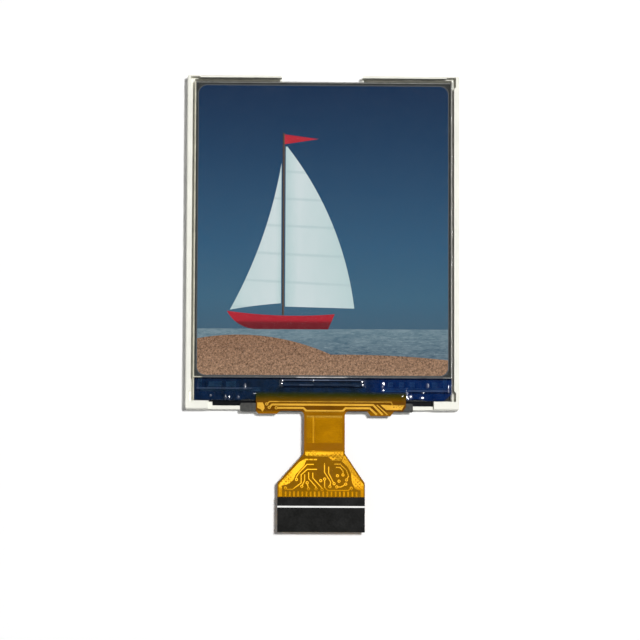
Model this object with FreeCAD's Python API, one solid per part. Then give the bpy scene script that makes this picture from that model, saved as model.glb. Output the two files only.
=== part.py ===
import FreeCAD, Part
import math
import os

# A small colour display module that lies on its back. All sizes are millimetres.
# Origin: centre of the frame's back face. +X to the picture's right, +Y to its top, +Z to the viewer.

Vector = FreeCAD.Vector

# Picture area and the glass border round it
PICTURE_WIDTH = 30.24
PICTURE_LENGTH = 35.28
PICTURE_CORNER = 1.0
BORDER_SIDE = 0.53
BORDER_TOP = 0.49
BORDER_END = 0.35
LEDGE_LENGTH = 2.72
GLASS_EDGE_CHAMFER = 0.08

# Backlight frame
SIDE_WALL = 0.65
TOP_WALL = 0.28
END_WALL = 0.40
GLASS_SIDE_GAP = 0.20
GLASS_TOP_GAP = 0.43
GLASS_END_GAP = 0.08
BLOCK_DEPTH = 0.97
LEFT_BLOCK = 2.75
RIGHT_BLOCK = 3.10
BLOCK_ROUND = 0.25
BLOCK_FOOT = 0.45
FRAME_SHY = 0.14
FRAME_CORNER = 0.25
WALL_BEVEL = 0.10
RELIEF_DEPTH = 0.22
RELIEF_LENGTH = 1.05
TOP_RELIEF = 0.12
NOTCH_WIDTH = 9.90
NOTCH_CENTRE = -0.18
NOTCH_DRAFT = 0.15
WINDOW_GAP = 0.03
REFLECTOR_LAP = 0.20

# Layer thicknesses, from the back to the front
REFLECTOR = 0.08
GUIDE = 0.45
DIFFUSER = 0.05
PRISM_FILM = 0.06
RIM_TAPE = 0.05
REAR_POLARIZER = 0.12
GLASS = 0.40
CELL_GAP = 0.02
FILTER_LAYER = 0.02
FRONT_POLARIZER = 0.13

# Outlines of the sheets
GUIDE_SIDE_MARGIN = 0.20
GUIDE_TOP_MARGIN = 0.16
GUIDE_END_MARGIN = 0.85
GUIDE_EAR_LENGTH = 1.60
GUIDE_EAR_DEPTH = 0.25
GUIDE_EAR_PLACE = 9.0
GROOVE_PITCH = 0.30
GROOVE_DEPTH = 0.07
FILM_MARGIN = 0.05
TAPE_WINDOW_MARGIN = 0.15
TAPE_EDGE_INSET = 0.05
RIM_TAPE_TOP_LAP = 0.36
POLARIZER_INSET = 0.22
POLARIZER_TOP_INSET = 0.13
POLARIZER_END_INSET = 0.12
SEAL_INSET = 0.06
MATRIX_INSET = 0.14

# Light strip
LIGHT_COUNT = 4
LIGHT_END_ROOM = 4.82
LIGHT_WIDTH = 3.0
LIGHT_DEPTH = 0.85
LIGHT_GAP = 0.05
LIGHT_CLEARANCE = 0.02
LIGHT_POCKET_GAP = 0.10
LIGHT_WINDOW_WIDTH = 2.40
LIGHT_WINDOW_HEIGHT = 0.30
LIGHT_WINDOW_DEPTH = 0.30
SOLDER_LENGTH = 0.22
SOLDER_HEIGHT = 0.26
STRIP_OVERLAP = 0.35
STRIP_TAPE = 0.05
STRIP_CLEARANCE = 0.08
TAB_WIDTH = 2.2
TAB_SLOT_GAP = 0.10
TAB_REACH = 0.65
TAB_CLEARANCE = 0.12
JOINT_WIDTH = 0.70
JOINT_LENGTH = 0.40
JOINT_SPACING = 1.10

# Driver chip and the films that bond it and the circuit
BOND_FILM = 0.02
CHIP_LENGTH = 9.50
CHIP_WIDTH = 0.78
CHIP_HEIGHT = 0.28
CHIP_CENTRE = -0.05
CHIP_GAP = 0.25
BOND_OVERLAP = 1.05

# Thin-film pattern on the ledge
TRACK_FILM = 0.01
FAN_COUNT = 20
FAN_TRACK = 0.10
FAN_FLARE = 2.5

# Protective coating
COATING_INSET = 0.06
COATING_DROP = 0.05
COATING_OVER_CHIP = 0.05
COATING_OVER_CIRCUIT = 0.10
COATING_LIP = 0.03

# Flexible circuit
CIRCUIT_BASE = 0.06
COPPER = 0.015
COVER_FILM = 0.045
BAR_LEFT_SHARE = 0.511
BAR_RIGHT_SHARE = 0.642
BAR_OVERHANG = 0.20
LEFT_BUMP_SETBACK = 0.30
LEFT_BUMP_WIDTH = 2.20
LEFT_BUMP_DROP = 0.36
RIGHT_BUMP_SETBACK = 1.85
RIGHT_BUMP_WIDTH = 2.40
RIGHT_BUMP_DROP = 0.58
BUMP_SLOPE = 0.45
BAR_END_SLOPE = 0.35
NECK_CENTRE = 0.25
NECK_WIDTH = 4.90
NECK_ROUND = 0.55
CIRCUIT_REACH = 14.77
FLARE_LENGTH = 3.58
SHOULDER_LENGTH = 1.69
FLARE_ROUND = 0.60

# Contact tail
CONTACT_COUNT = 20
CONTACT_PITCH = 0.50
CONTACT_WIDTH = 0.32
CONTACT_LENGTH = 3.50
CONTACT_THICKNESS = 0.02
CONTACT_SETBACK = 0.12
TAIL_CENTRE = -0.12
STIFFENER_LENGTH = 4.20
STIFFENER = 0.16
MARK_WIDTH = 0.20
MARK_DISTANCE = 1.06
MARK_THICKNESS = 0.01

# Copper pattern
TRACK = 0.12
WIDE_TRACK = 0.24
VIA_RADIUS = 0.19
VIA_HOLE = 0.08
VIA_SIDES = 12
POUR_MARGIN = 0.16
HATCH = 0.13
HATCH_PITCH = 0.38
FINGER_TRACK = 0.20
FINGER_LENGTH = 0.60
TOP_RUN = 1.12
MIDDLE_RUN = 0.76
LOW_RUN = 0.36
RUN_JOG = 0.35
NECK_PLANE_MARGIN = 0.30
NECK_SLIT = 0.08
NECK_SLIT_PLACE = 1.25
NECK_PLANE_STOP = 1.25

# Ends of the cross bar's tracks, from its left end, its right end or the right bump's left end
BAR_VIAS_LEFT = [(1.30, 0.82), (1.60, 0.41), (2.45, 0.36)]
BAR_VIA_RIGHT = (-1.45, 0.51)
LEFT_POUR = [(0.16, 1.00), (0.80, 1.00), (0.98, 0.70), (1.05, 0.30), (0.80, -0.10), (0.60, 0.16),
             (0.16, 0.36)]
RIGHT_POUR_LEFT = [(1.15, 0.78), (1.90, 0.16)]
HATCH_RIGHT = (-1.30, -0.40)
DIAGONAL_STARTS = [-0.10, 0.30, 0.75]
DIAGONAL_ENDS = [0.75, 1.45, 2.05]

# Pours of the flare. The head is placed from the neck's sides and the flare's top.
HEAD_TOP = 0.35
HEAD_LOW = -0.30
HEAD_POCKET = [(-0.16, -0.45), (-0.50, -0.85), (-1.50, -0.85), (-2.00, -0.40)]
HEAD_HATCHES = [(0.40, 1.55, -0.15, 0.25), (3.30, 4.55, -0.60, 0.25)]

# Flank pours, from the tail's edge and the flare's lower end; they run down beside the contacts' tracks
LEFT_FLANK = [(0.55, -0.30), (1.35, -0.12), (1.90, 0.35), (2.20, 1.05), (3.20, 2.10), (3.45, 2.76),
              (4.75, 2.76), (4.75, 2.92), (3.30, 2.92), (2.60, 2.50)]
LEFT_HATCH = (0.75, 1.60, 0.10, 0.70)
RIGHT_FLANK = [(-0.50, -0.85), (-1.15, -0.70), (-1.55, 0.10), (-1.67, 1.20), (-2.15, 2.05), (-2.80, 2.65),
               (-2.46, 3.40)]
RIGHT_HATCH = (-1.25, -0.20, -0.60, 0.35)
FLANK_TOP = -0.15

# Dark tape under the cross bar
SUPPORT_TAPE = 0.10
TAPE_LEFT_REACH = 1.90
TAPE_RIGHT_REACH = 0.85
TAPE_WIDTH = 1.07
TAPE_OVERHANG = 0.32
TAPE_ROUND = 0.22

# Side runs of the ledge, and its test pads: each one's distance from the glass side, and its width
FAN_MARGIN = 0.06
RUN_SETBACK = 0.12
SIDE_RUNS = 3
SIDE_RUN_PITCH = 0.16
SIDE_RUN_START = 1.40
SIDE_RUN_SLOPE = 0.6
SIDE_RUN_DROP = 0.85
SIDE_RUN_MARGIN = 0.75
PAD_DROP = 0.04
PAD_LENGTH = 0.62
LEFT_PADS = [(2.75, 1.6), (4.65, 1.2)]
RIGHT_PADS = [(7.45, 0.62), (6.15, 0.62), (4.85, 0.62), (2.15, 0.70)]

# The picture's fields of colour. Shore and water are measured from the picture's lower edge.
HORIZON = 5.60
SHORE_LEFT = 4.40
SHORE_RIGHT = 1.90
SHORE_DIP = 2.50
SHORE_DIP_PLACE = 1.0
SHORE_SWELL_PLACE = 7.0
SHORE_LEFT_SWELL = 4.80
SHORE_RIGHT_SWELL = 2.40

# The boat's outlines, from the foot of its mast. Each step is a corner, or an arc's middle and end.
BOAT_PLACE = -4.80
BOAT_HEIGHT = 7.40
MAST_TOP = 22.1
MAST_FOOT = -0.15
MAST_HALF = 0.12
MAINSAIL = [(0.25, 0.90), [(8.60, 0.70)], [(5.70, 11.5), (0.45, 20.4)], [(0.25, 20.4)], [(0.25, 0.90)]]
JIB = [(-0.25, 18.4), [(-2.70, 8.80), (-6.40, 0.50)], [(-3.20, 1.00), (-0.25, 1.30)], [(-0.25, 18.4)]]
HULL = [(-6.75, 0.35), [(-5.20, -1.30), (-3.40, -1.85)], [(5.45, -1.85)], [(6.25, 0.0)],
        [(0.0, -0.20), (-6.75, 0.35)]]
PENNANT = [(0.12, 21.9), [(4.20, 21.35)], [(0.12, 20.7)], [(0.12, 21.9)]]

# Tracks of the flare, from the tail's centre line and the flare's lower end; each ends in a plated hole
FLARE_ROUTES = [
    [(-0.90, 2.25), (-1.70, 2.25), (-2.65, 1.25), (-2.97, 0.75), (-2.97, 0.43)],
    [(-0.50, 1.66), (-1.66, 1.66), (-2.40, 1.00), (-2.40, 0.02), (-3.42, -0.76), (-4.05, -0.76),
     (-4.28, -0.60)],
    [(-1.98, 1.05), (-1.98, 0.35), (-2.32, -0.40)],
    [(-1.68, 0.05), (-1.52, -0.68)],
    [(-1.50, 1.30), (-1.50, 0.55), (-0.60, -0.45), (-0.60, -0.68)],
    [(-1.00, 1.25), (-1.00, 0.62), (0.12, -0.60), (0.12, -0.76)],
    [(0.42, 0.50), (0.42, -0.50), (0.78, -0.86), (3.25, -0.86), (3.62, -0.58)],
    [(0.40, 2.40), (0.40, 1.30), (1.15, 0.15), (1.05, -0.42)],
    [(0.90, 2.00), (0.90, 1.20), (1.55, -0.05)],
    [(2.95, -0.10), (2.40, -0.45), (1.88, -0.45)],
    [(1.55, 2.30), (2.30, 2.30), (3.05, 1.55), (3.28, 0.85), (3.05, 0.40)],
    [(1.75, 1.90), (2.25, 1.90), (2.62, 1.45), (2.62, 1.00)],
]
FLARE_LONE_VIAS = [(-1.68, 0.05), (-0.05, 0.30), (0.42, 0.50), (1.95, 0.90), (2.15, 0.25), (2.95, -0.10)]

# Places along X
glass_half = PICTURE_WIDTH / 2 + BORDER_SIDE
pocket_half = glass_half + GLASS_SIDE_GAP
frame_half = pocket_half + SIDE_WALL
guide_half = PICTURE_WIDTH / 2 + GUIDE_SIDE_MARGIN
window_half = guide_half + WINDOW_GAP
block_left = -frame_half + LEFT_BLOCK
block_right = frame_half - RIGHT_BLOCK
strip_left = block_left + STRIP_CLEARANCE
strip_right = block_right - STRIP_CLEARANCE
bar_left = -glass_half * BAR_LEFT_SHARE
bar_right = glass_half * BAR_RIGHT_SHARE
left_bump = bar_left + LEFT_BUMP_SETBACK
left_bump_end = left_bump + LEFT_BUMP_WIDTH
right_bump_end = bar_right - RIGHT_BUMP_SETBACK
right_bump = right_bump_end - RIGHT_BUMP_WIDTH
tab_centre = (right_bump + right_bump_end) / 2
neck_left = NECK_CENTRE - NECK_WIDTH / 2
neck_right = NECK_CENTRE + NECK_WIDTH / 2
tail_half = (CONTACT_COUNT + 1) * CONTACT_PITCH / 2
tail_left = TAIL_CENTRE - tail_half
tail_right = TAIL_CENTRE + tail_half

# Places along Y
glass_length = BORDER_TOP + PICTURE_LENGTH + BORDER_END + LEDGE_LENGTH
frame_length = TOP_WALL + GLASS_TOP_GAP + glass_length + GLASS_END_GAP + BLOCK_DEPTH
frame_top = frame_length / 2
frame_end = -frame_length / 2
wall_face = frame_top - TOP_WALL
glass_top = wall_face - GLASS_TOP_GAP
picture_top = glass_top - BORDER_TOP
picture_end = picture_top - PICTURE_LENGTH
upper_glass_end = picture_end - BORDER_END
lower_glass_end = upper_glass_end - LEDGE_LENGTH
block_face = frame_end + BLOCK_DEPTH
end_wall_face = frame_end + END_WALL
guide_top = picture_top + GUIDE_TOP_MARGIN
guide_end = picture_end - GUIDE_END_MARGIN
window_top = guide_top + WINDOW_GAP
light_face = guide_end - LIGHT_GAP
light_back = light_face - LIGHT_DEPTH
bay_end = light_back - LIGHT_POCKET_GAP
strip_top = guide_end + STRIP_OVERLAP
strip_end = end_wall_face + STRIP_CLEARANCE
film_end = strip_top + FILM_MARGIN
tab_start = lower_glass_end - TAB_CLEARANCE
chip_top = upper_glass_end - CHIP_GAP
chip_end = chip_top - CHIP_WIDTH
bar_top = lower_glass_end + BOND_OVERLAP
bar_end = frame_end - BAR_OVERHANG
tail_end = frame_end - CIRCUIT_REACH
stiffener_top = tail_end + STIFFENER_LENGTH
flare_end = stiffener_top + SHOULDER_LENGTH
flare_top = flare_end + FLARE_LENGTH

# Heights
guide_base = REFLECTOR
guide_face = guide_base + GUIDE
ledge_face = guide_face + DIFFUSER + 2 * PRISM_FILM
strip_base = guide_face + STRIP_TAPE
light_base = REFLECTOR + LIGHT_CLEARANCE
rear_polarizer_base = ledge_face + RIM_TAPE
lower_glass_base = rear_polarizer_base + REAR_POLARIZER
lower_glass_face = lower_glass_base + GLASS
filter_base = lower_glass_face + CELL_GAP
upper_glass_base = filter_base + FILTER_LAYER
upper_glass_face = upper_glass_base + GLASS
module_face = upper_glass_face + FRONT_POLARIZER
frame_height = module_face - FRAME_SHY
circuit_base = lower_glass_face + BOND_FILM
copper_base = circuit_base + CIRCUIT_BASE
cover_base = copper_base + COPPER
circuit_face = cover_base + COVER_FILM
chip_base = lower_glass_face + BOND_FILM
chip_face = chip_base + CHIP_HEIGHT
tape_base = circuit_base - SUPPORT_TAPE
tab_face = circuit_base - BOND_FILM


def block(x0, x1, y0, y1, z0, z1):
    """The block between two corners."""
    return Part.makeBox(x1 - x0, y1 - y0, z1 - z0, Vector(x0, y0, z0))


def placed(points, x0, y0):
    """Points moved to an anchor."""
    return [(x0 + x, y0 + y) for x, y in points]


def plate(outline, base, thickness):
    """A flat plate with straight sides from the corners of its outline."""
    corners = [Vector(x, y, base) for x, y in outline]
    wire = Part.makePolygon(corners + corners[:1])
    return Part.Face(wire).extrude(Vector(0, 0, thickness))


def curved_plate(start, steps, base, thickness):
    """A flat plate whose sides are lines (one point a step) or arcs (a middle and an end)."""
    edges = []
    here = Vector(start[0], start[1], base)
    for step in steps:
        points = [Vector(x, y, base) for x, y in step]
        if len(points) == 2:
            edges.append(Part.Arc(here, points[0], points[1]).toShape())
        else:
            edges.append(Part.makeLine(here, points[0]))
        here = points[-1]
    wire = Part.Wire(edges)
    return Part.Face(wire).extrude(Vector(0, 0, thickness))


def upright_edges(solid, places):
    """The solid's upright edges that stand at the given places."""
    found = []
    for edge in solid.Edges:
        if abs(edge.tangentAt(edge.FirstParameter).z) < 0.999:
            continue
        middle = edge.CenterOfMass
        if any(math.hypot(middle.x - x, middle.y - y) < 0.001 for x, y in places):
            found.append(edge)
    return found


def rounded(solid, places, radius):
    """The solid with its upright edges at the given places rounded."""
    return solid.makeFillet(radius, upright_edges(solid, places))


def rounded_plate(x0, x1, y0, y1, base, thickness, radius):
    """A rectangular plate with four round corners."""
    corners = [(x0, y0), (x1, y0), (x1, y1), (x0, y1)]
    return rounded(plate(corners, base, thickness), corners, radius)


def face_edges(solid, height):
    """The solid's edges that lie flat at one height."""
    found = []
    for edge in solid.Edges:
        box = edge.BoundBox
        if abs(box.ZMin - height) < 0.001 and abs(box.ZMax - height) < 0.001:
            found.append(edge)
    return found


def corner_step(route, index, half):
    """The mitred step from a corner of a route to the left edge of its track."""
    normals = []
    for first in (index - 1, index):
        if 0 <= first < len(route) - 1:
            dx = route[first + 1][0] - route[first][0]
            dy = route[first + 1][1] - route[first][1]
            length = math.hypot(dx, dy)
            normals.append((-dy / length, dx / length))
    mean_x = sum(n[0] for n in normals) / len(normals)
    mean_y = sum(n[1] for n in normals) / len(normals)
    scale = half / (mean_x ** 2 + mean_y ** 2)
    return mean_x * scale, mean_y * scale


def track(route, width, base, thickness):
    """A flat track of even width along a route, mitred at its corners."""
    left = []
    right = []
    for index, (x, y) in enumerate(route):
        dx, dy = corner_step(route, index, width / 2)
        left.append((x + dx, y + dy))
        right.append((x - dx, y - dy))
    return plate(left + right[::-1], base, thickness)


def via_plate(place, radius):
    """A small many-sided plate in the copper's layer, about the centre of a plated hole."""
    turns = [2 * math.pi * (index + 0.5) / VIA_SIDES for index in range(VIA_SIDES)]
    return plate([(place[0] + radius * math.cos(turn), place[1] + radius * math.sin(turn)) for turn in turns],
                 copper_base, COPPER)


def light_centres():
    """The places along X of the light strip's lamps."""
    span = 2 * (guide_half - LIGHT_END_ROOM)
    return [span * index / (LIGHT_COUNT - 1) - span / 2 for index in range(LIGHT_COUNT)]


def panel_pocket():
    """The space that the glass lies in: a rectangle with relief pockets at its corners."""
    wide = pocket_half + RELIEF_DEPTH
    high = wall_face + TOP_RELIEF
    low_step = block_face + RELIEF_LENGTH
    high_step = wall_face - RELIEF_LENGTH
    right_side = [
        (wide, block_face),
        (wide, low_step),
        (pocket_half, low_step + RELIEF_DEPTH),
        (pocket_half, high_step - RELIEF_DEPTH),
        (wide, high_step),
        (wide, high),
        (wide - RELIEF_LENGTH, high),
        (wide - RELIEF_LENGTH - TOP_RELIEF, wall_face),
    ]
    left_side = [(-x, y) for x, y in reversed(right_side)]
    return plate(right_side + left_side, ledge_face, frame_height)


def backlight_frame():
    """The moulded frame: thin walls, two corner blocks, a low end wall and a pocket for each lamp."""
    corners = [(side * frame_half, end) for side in (-1, 1) for end in (frame_end, frame_top)]
    body = block(-frame_half, frame_half, frame_end, frame_top, 0, frame_height)
    body = rounded(body, corners, min(FRAME_CORNER, TOP_WALL))
    body = body.makeChamfer(WALL_BEVEL, face_edges(body, frame_height))

    above = frame_height
    bay = block(block_left, block_right, end_wall_face, guide_end, strip_base, above)
    bay = rounded(bay, [(block_left, end_wall_face), (block_right, end_wall_face)],
                  min(BLOCK_ROUND, END_WALL))
    low_wall = block(block_left, block_right, frame_end - WALL_BEVEL, block_face, tape_base, above)
    low_wall = rounded(low_wall, [(block_left, block_face), (block_right, block_face)],
                       min(BLOCK_ROUND, BLOCK_DEPTH / 2))
    foot = block(block_left, block_left + BLOCK_FOOT, end_wall_face, end_wall_face + BLOCK_FOOT,
                 strip_base, tape_base)
    window = block(-window_half, window_half, guide_end - WINDOW_GAP, window_top, 0, above)
    tools = [panel_pocket(), bay.cut(foot), low_wall, window]

    for side in (-1, 1):
        ear = GUIDE_EAR_DEPTH + WINDOW_GAP
        x_inner = side * window_half
        x_outer = side * (guide_half + ear)
        tools.append(block(min(x_inner, x_outer), max(x_inner, x_outer),
                           -GUIDE_EAR_PLACE - GUIDE_EAR_LENGTH / 2 - WINDOW_GAP,
                           -GUIDE_EAR_PLACE + GUIDE_EAR_LENGTH / 2 + WINDOW_GAP,
                           0, ledge_face))
    for centre in light_centres():
        half = LIGHT_WIDTH / 2 + SOLDER_LENGTH + LIGHT_POCKET_GAP
        tools.append(block(centre - half, centre + half, bay_end, guide_end, 0, strip_base))

    slot = TAB_WIDTH / 2 + TAB_SLOT_GAP
    tools.append(block(tab_centre - slot, tab_centre + slot, frame_end - WALL_BEVEL, end_wall_face,
                       strip_base, above))
    notch_half = NOTCH_WIDTH / 2
    tools.append(plate([(NOTCH_CENTRE - notch_half + NOTCH_DRAFT, glass_top),
                        (NOTCH_CENTRE + notch_half - NOTCH_DRAFT, glass_top),
                        (NOTCH_CENTRE + notch_half, frame_top + WALL_BEVEL),
                        (NOTCH_CENTRE - notch_half, frame_top + WALL_BEVEL)], 0, above))
    tools.append(reflector_outline(WINDOW_GAP))
    return body.cut(tools)


def reflector_outline(gap):
    """The reflector's plate, grown by a gap all round."""
    half = window_half + REFLECTOR_LAP + gap
    return block(-half, half, bay_end - REFLECTOR_LAP - gap, window_top + REFLECTOR_LAP + gap, 0, REFLECTOR)


def light_guide():
    """The clear plate: two locating ears, and grooves across the edge that faces each lamp."""
    body = block(-guide_half, guide_half, guide_end, guide_top, guide_base, guide_face)
    ears = []
    for side in (-1, 1):
        x_outer = side * (guide_half + GUIDE_EAR_DEPTH)
        ears.append(block(min(0, x_outer), max(0, x_outer),
                          -GUIDE_EAR_PLACE - GUIDE_EAR_LENGTH / 2,
                          -GUIDE_EAR_PLACE + GUIDE_EAR_LENGTH / 2, guide_base, guide_face))
    body = body.fuse(ears)
    grooves = []
    groove_count = int(LIGHT_WINDOW_WIDTH / GROOVE_PITCH)
    for centre in light_centres():
        for index in range(groove_count):
            x = centre + (index - (groove_count - 1) / 2) * GROOVE_PITCH
            grooves.append(plate([(x - GROOVE_DEPTH, guide_end), (x + GROOVE_DEPTH, guide_end),
                                  (x, guide_end + GROOVE_DEPTH)], guide_base, GUIDE))
    return body.cut(grooves).removeSplitter()


def film(base, thickness):
    """A film of the stack in front of the light guide."""
    half = guide_half - FILM_MARGIN
    return block(-half, half, film_end, guide_top - FILM_MARGIN, base, base + thickness)


def ring(outer, inner):
    """A flat ring: an outer plate with an inner one taken out."""
    return outer.cut(inner)


def rim_tape():
    """The black tape on the frame's ledge, with the picture's window in it."""
    outer_half = glass_half - TAPE_EDGE_INSET
    inner_half = PICTURE_WIDTH / 2 + TAPE_WINDOW_MARGIN
    outer = block(-outer_half, outer_half, lower_glass_end + TAPE_EDGE_INSET,
                  glass_top + RIM_TAPE_TOP_LAP, ledge_face, rear_polarizer_base)
    notch_half = NOTCH_WIDTH / 2 + NOTCH_DRAFT
    notch = block(NOTCH_CENTRE - notch_half, NOTCH_CENTRE + notch_half, glass_top - TAPE_EDGE_INSET,
                  frame_top, ledge_face, rear_polarizer_base)
    window = block(-inner_half, inner_half, picture_end - TAPE_WINDOW_MARGIN,
                   picture_top + TAPE_WINDOW_MARGIN, ledge_face, rear_polarizer_base)
    return ring(outer, [window, notch])


def light_window(centre):
    """The glowing window of one lamp."""
    half = LIGHT_WINDOW_WIDTH / 2
    middle = (light_base + strip_base) / 2
    return block(centre - half, centre + half, light_face - LIGHT_WINDOW_DEPTH, light_face,
                 middle - LIGHT_WINDOW_HEIGHT / 2, middle + LIGHT_WINDOW_HEIGHT / 2)


def light_housing(centre):
    """The moulded cup of one lamp, open towards the light guide."""
    half = LIGHT_WIDTH / 2
    cup = block(centre - half, centre + half, light_back, light_face, light_base, strip_base)
    return cup.cut(light_window(centre))


def light_solder():
    """A fillet of solder at both ends of each lamp, against the strip."""
    fillets = []
    for centre in light_centres():
        for side in (-1, 1):
            x = centre + side * LIGHT_WIDTH / 2
            corners = [Vector(x, light_back, strip_base),
                       Vector(x + side * SOLDER_LENGTH, light_back, strip_base),
                       Vector(x, light_back, strip_base - SOLDER_HEIGHT)]
            wedge = Part.Face(Part.makePolygon(corners + corners[:1]))
            fillets.append(wedge.extrude(Vector(0, LIGHT_DEPTH, 0)))
    return Part.makeCompound(fillets)


def strip_tab():
    """The strip's tab, bent up in two arcs to meet the underside of the circuit."""
    thickness = ledge_face - strip_base
    bend = (tab_face - ledge_face) / 2
    inner = bend - thickness / 2
    outer = bend + thickness / 2
    height = strip_base + thickness / 2 + bend
    low_bend = (tab_start, height)
    high_bend = (tab_start - 2 * bend, height)
    tip = frame_end - TAB_REACH

    def spot(centre, radius, degrees):
        """A point of a bend, in the plane across the strip."""
        angle = math.radians(degrees)
        return Vector(0, centre[0] + radius * math.cos(angle), centre[1] + radius * math.sin(angle))

    def arc(centre, radius, first, last):
        """A quarter bend from one angle to another."""
        middle = (first + last) / 2
        return Part.Arc(spot(centre, radius, first), spot(centre, radius, middle),
                        spot(centre, radius, last)).toShape()

    under_tip = Vector(0, tip, tab_face - thickness)
    over_tip = Vector(0, tip, tab_face)
    edges = [
        arc(low_bend, outer, 270, 180),
        arc(high_bend, inner, 0, 90),
        Part.makeLine(spot(high_bend, inner, 90), under_tip),
        Part.makeLine(under_tip, over_tip),
        Part.makeLine(over_tip, spot(high_bend, outer, 90)),
        arc(high_bend, outer, 90, 0),
        arc(low_bend, inner, 180, 270),
        Part.makeLine(spot(low_bend, inner, 270), spot(low_bend, outer, 270)),
    ]
    profile = Part.Face(Part.Wire(edges))
    profile.translate(Vector(tab_centre - TAB_WIDTH / 2, 0, 0))
    return profile.extrude(Vector(TAB_WIDTH, 0, 0))


def light_strip():
    """The strip circuit over the lamps, with its tab bent up between two slits."""
    slot = TAB_WIDTH / 2 + TAB_SLOT_GAP
    bar = block(strip_left, strip_right, strip_end, strip_top, strip_base, ledge_face)
    gap = block(tab_centre - slot, tab_centre + slot, strip_end, tab_start, strip_base, ledge_face)
    foot = BLOCK_FOOT + STRIP_CLEARANCE
    corner = block(strip_left, block_left + foot, strip_end, end_wall_face + foot, strip_base, ledge_face)
    return bar.cut([gap, corner]).fuse(strip_tab()).removeSplitter()


def strip_tape():
    """The tape that holds the strip to the end of the light guide."""
    half = guide_half - FILM_MARGIN
    left = max(-half, strip_left)
    right = min(half, strip_right)
    return block(left, right, guide_end, strip_top, guide_face, strip_base)


def tab_solder():
    """Two flat joints between the strip's tab and the circuit."""
    tip = frame_end - TAB_REACH
    joints = []
    for side in (-1, 1):
        x = tab_centre + side * JOINT_SPACING / 2
        joints.append(block(x - JOINT_WIDTH / 2, x + JOINT_WIDTH / 2, tip + JOINT_LENGTH / 2,
                            tip + JOINT_LENGTH * 1.5, tab_face, circuit_base))
    return Part.makeCompound(joints)


def polarizer(base, thickness, end):
    """A polarizer film, set in from the glass edges."""
    half = glass_half - POLARIZER_INSET
    return block(-half, half, end, glass_top - POLARIZER_TOP_INSET, base, base + thickness)


def glass_sheet(end, base):
    """A glass sheet with ground front edges."""
    sheet = block(-glass_half, glass_half, end, glass_top, base, base + GLASS)
    return sheet.makeChamfer(GLASS_EDGE_CHAMFER, face_edges(sheet, base + GLASS))


def cell_space(inset, base, thickness):
    """A plate inside the upper glass outline, set in by one distance on every side."""
    half = glass_half - inset
    return block(-half, half, upper_glass_end + inset, glass_top - inset, base, base + thickness)


def cell_seal():
    """The ring of sealant between the two glasses."""
    base = lower_glass_face
    return ring(cell_space(SEAL_INSET, base, CELL_GAP + FILTER_LAYER),
                cell_space(MATRIX_INSET, base, CELL_GAP + FILTER_LAYER))


def picture_area():
    """The lit picture's plate, with its round corners."""
    half = PICTURE_WIDTH / 2
    return rounded_plate(-half, half, picture_end, picture_top, filter_base, FILTER_LAYER, PICTURE_CORNER)


def boat_plate(outline, foot):
    """One field of the boat, from its outline about the foot of the mast."""
    steps = [placed(step, foot[0], foot[1]) for step in outline[1:]]
    return curved_plate((foot[0] + outline[0][0], foot[1] + outline[0][1]), steps, filter_base, FILTER_LAYER)


def shore_plate():
    """The shore along the picture's lower edge, in two long swells."""
    half = PICTURE_WIDTH / 2
    return curved_plate((-half, picture_end), [
        [(half, picture_end)],
        [(half, picture_end + SHORE_RIGHT)],
        [(half - SHORE_SWELL_PLACE, picture_end + SHORE_RIGHT_SWELL),
         (SHORE_DIP_PLACE, picture_end + SHORE_DIP)],
        [(-half + SHORE_SWELL_PLACE, picture_end + SHORE_LEFT_SWELL), (-half, picture_end + SHORE_LEFT)],
        [(-half, picture_end)]], filter_base, FILTER_LAYER)


def picture_fields():
    """The picture as flat fields of colour: a boat under sail off a shore."""
    area = picture_area()
    foot = (BOAT_PLACE, picture_end + BOAT_HEIGHT)
    spar = block(foot[0] - MAST_HALF, foot[0] + MAST_HALF, foot[1] + MAST_FOOT, foot[1] + MAST_TOP,
                 filter_base, upper_glass_base)
    sails = [boat_plate(MAINSAIL, foot), boat_plate(JIB, foot)]
    hull = boat_plate(HULL, foot).cut(spar)
    pennant = boat_plate(PENNANT, foot)
    shore = shore_plate().common(area)
    half = PICTURE_WIDTH / 2
    water = block(-half, half, picture_end, picture_end + HORIZON, filter_base, upper_glass_base)
    water = water.common(area).cut([shore, hull, spar])
    sky = area.cut([shore, water, hull, pennant, spar] + sails)
    return {
        "picture_sky": sky,
        "picture_water": water,
        "picture_shore": shore,
        "picture_sails": Part.makeCompound(sails),
        "picture_hull": Part.makeCompound([hull, pennant]),
        "picture_mast": spar,
    }


def black_matrix():
    """The black border of the filter layer, round the picture."""
    return ring(cell_space(MATRIX_INSET, filter_base, FILTER_LAYER), picture_area())


def driver_chip():
    """The bare silicon chip on the ledge."""
    half = CHIP_LENGTH / 2
    return block(CHIP_CENTRE - half, CHIP_CENTRE + half, chip_end, chip_top, chip_base, chip_face)


def chip_bond():
    """The bond film under the chip."""
    half = CHIP_LENGTH / 2
    return block(CHIP_CENTRE - half, CHIP_CENTRE + half, chip_end, chip_top, lower_glass_face, chip_base)


def circuit_bond():
    """The bond film between the ledge and the cross bar of the circuit."""
    return block(bar_left, bar_right, lower_glass_end, bar_top, lower_glass_face, circuit_base)


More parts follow.
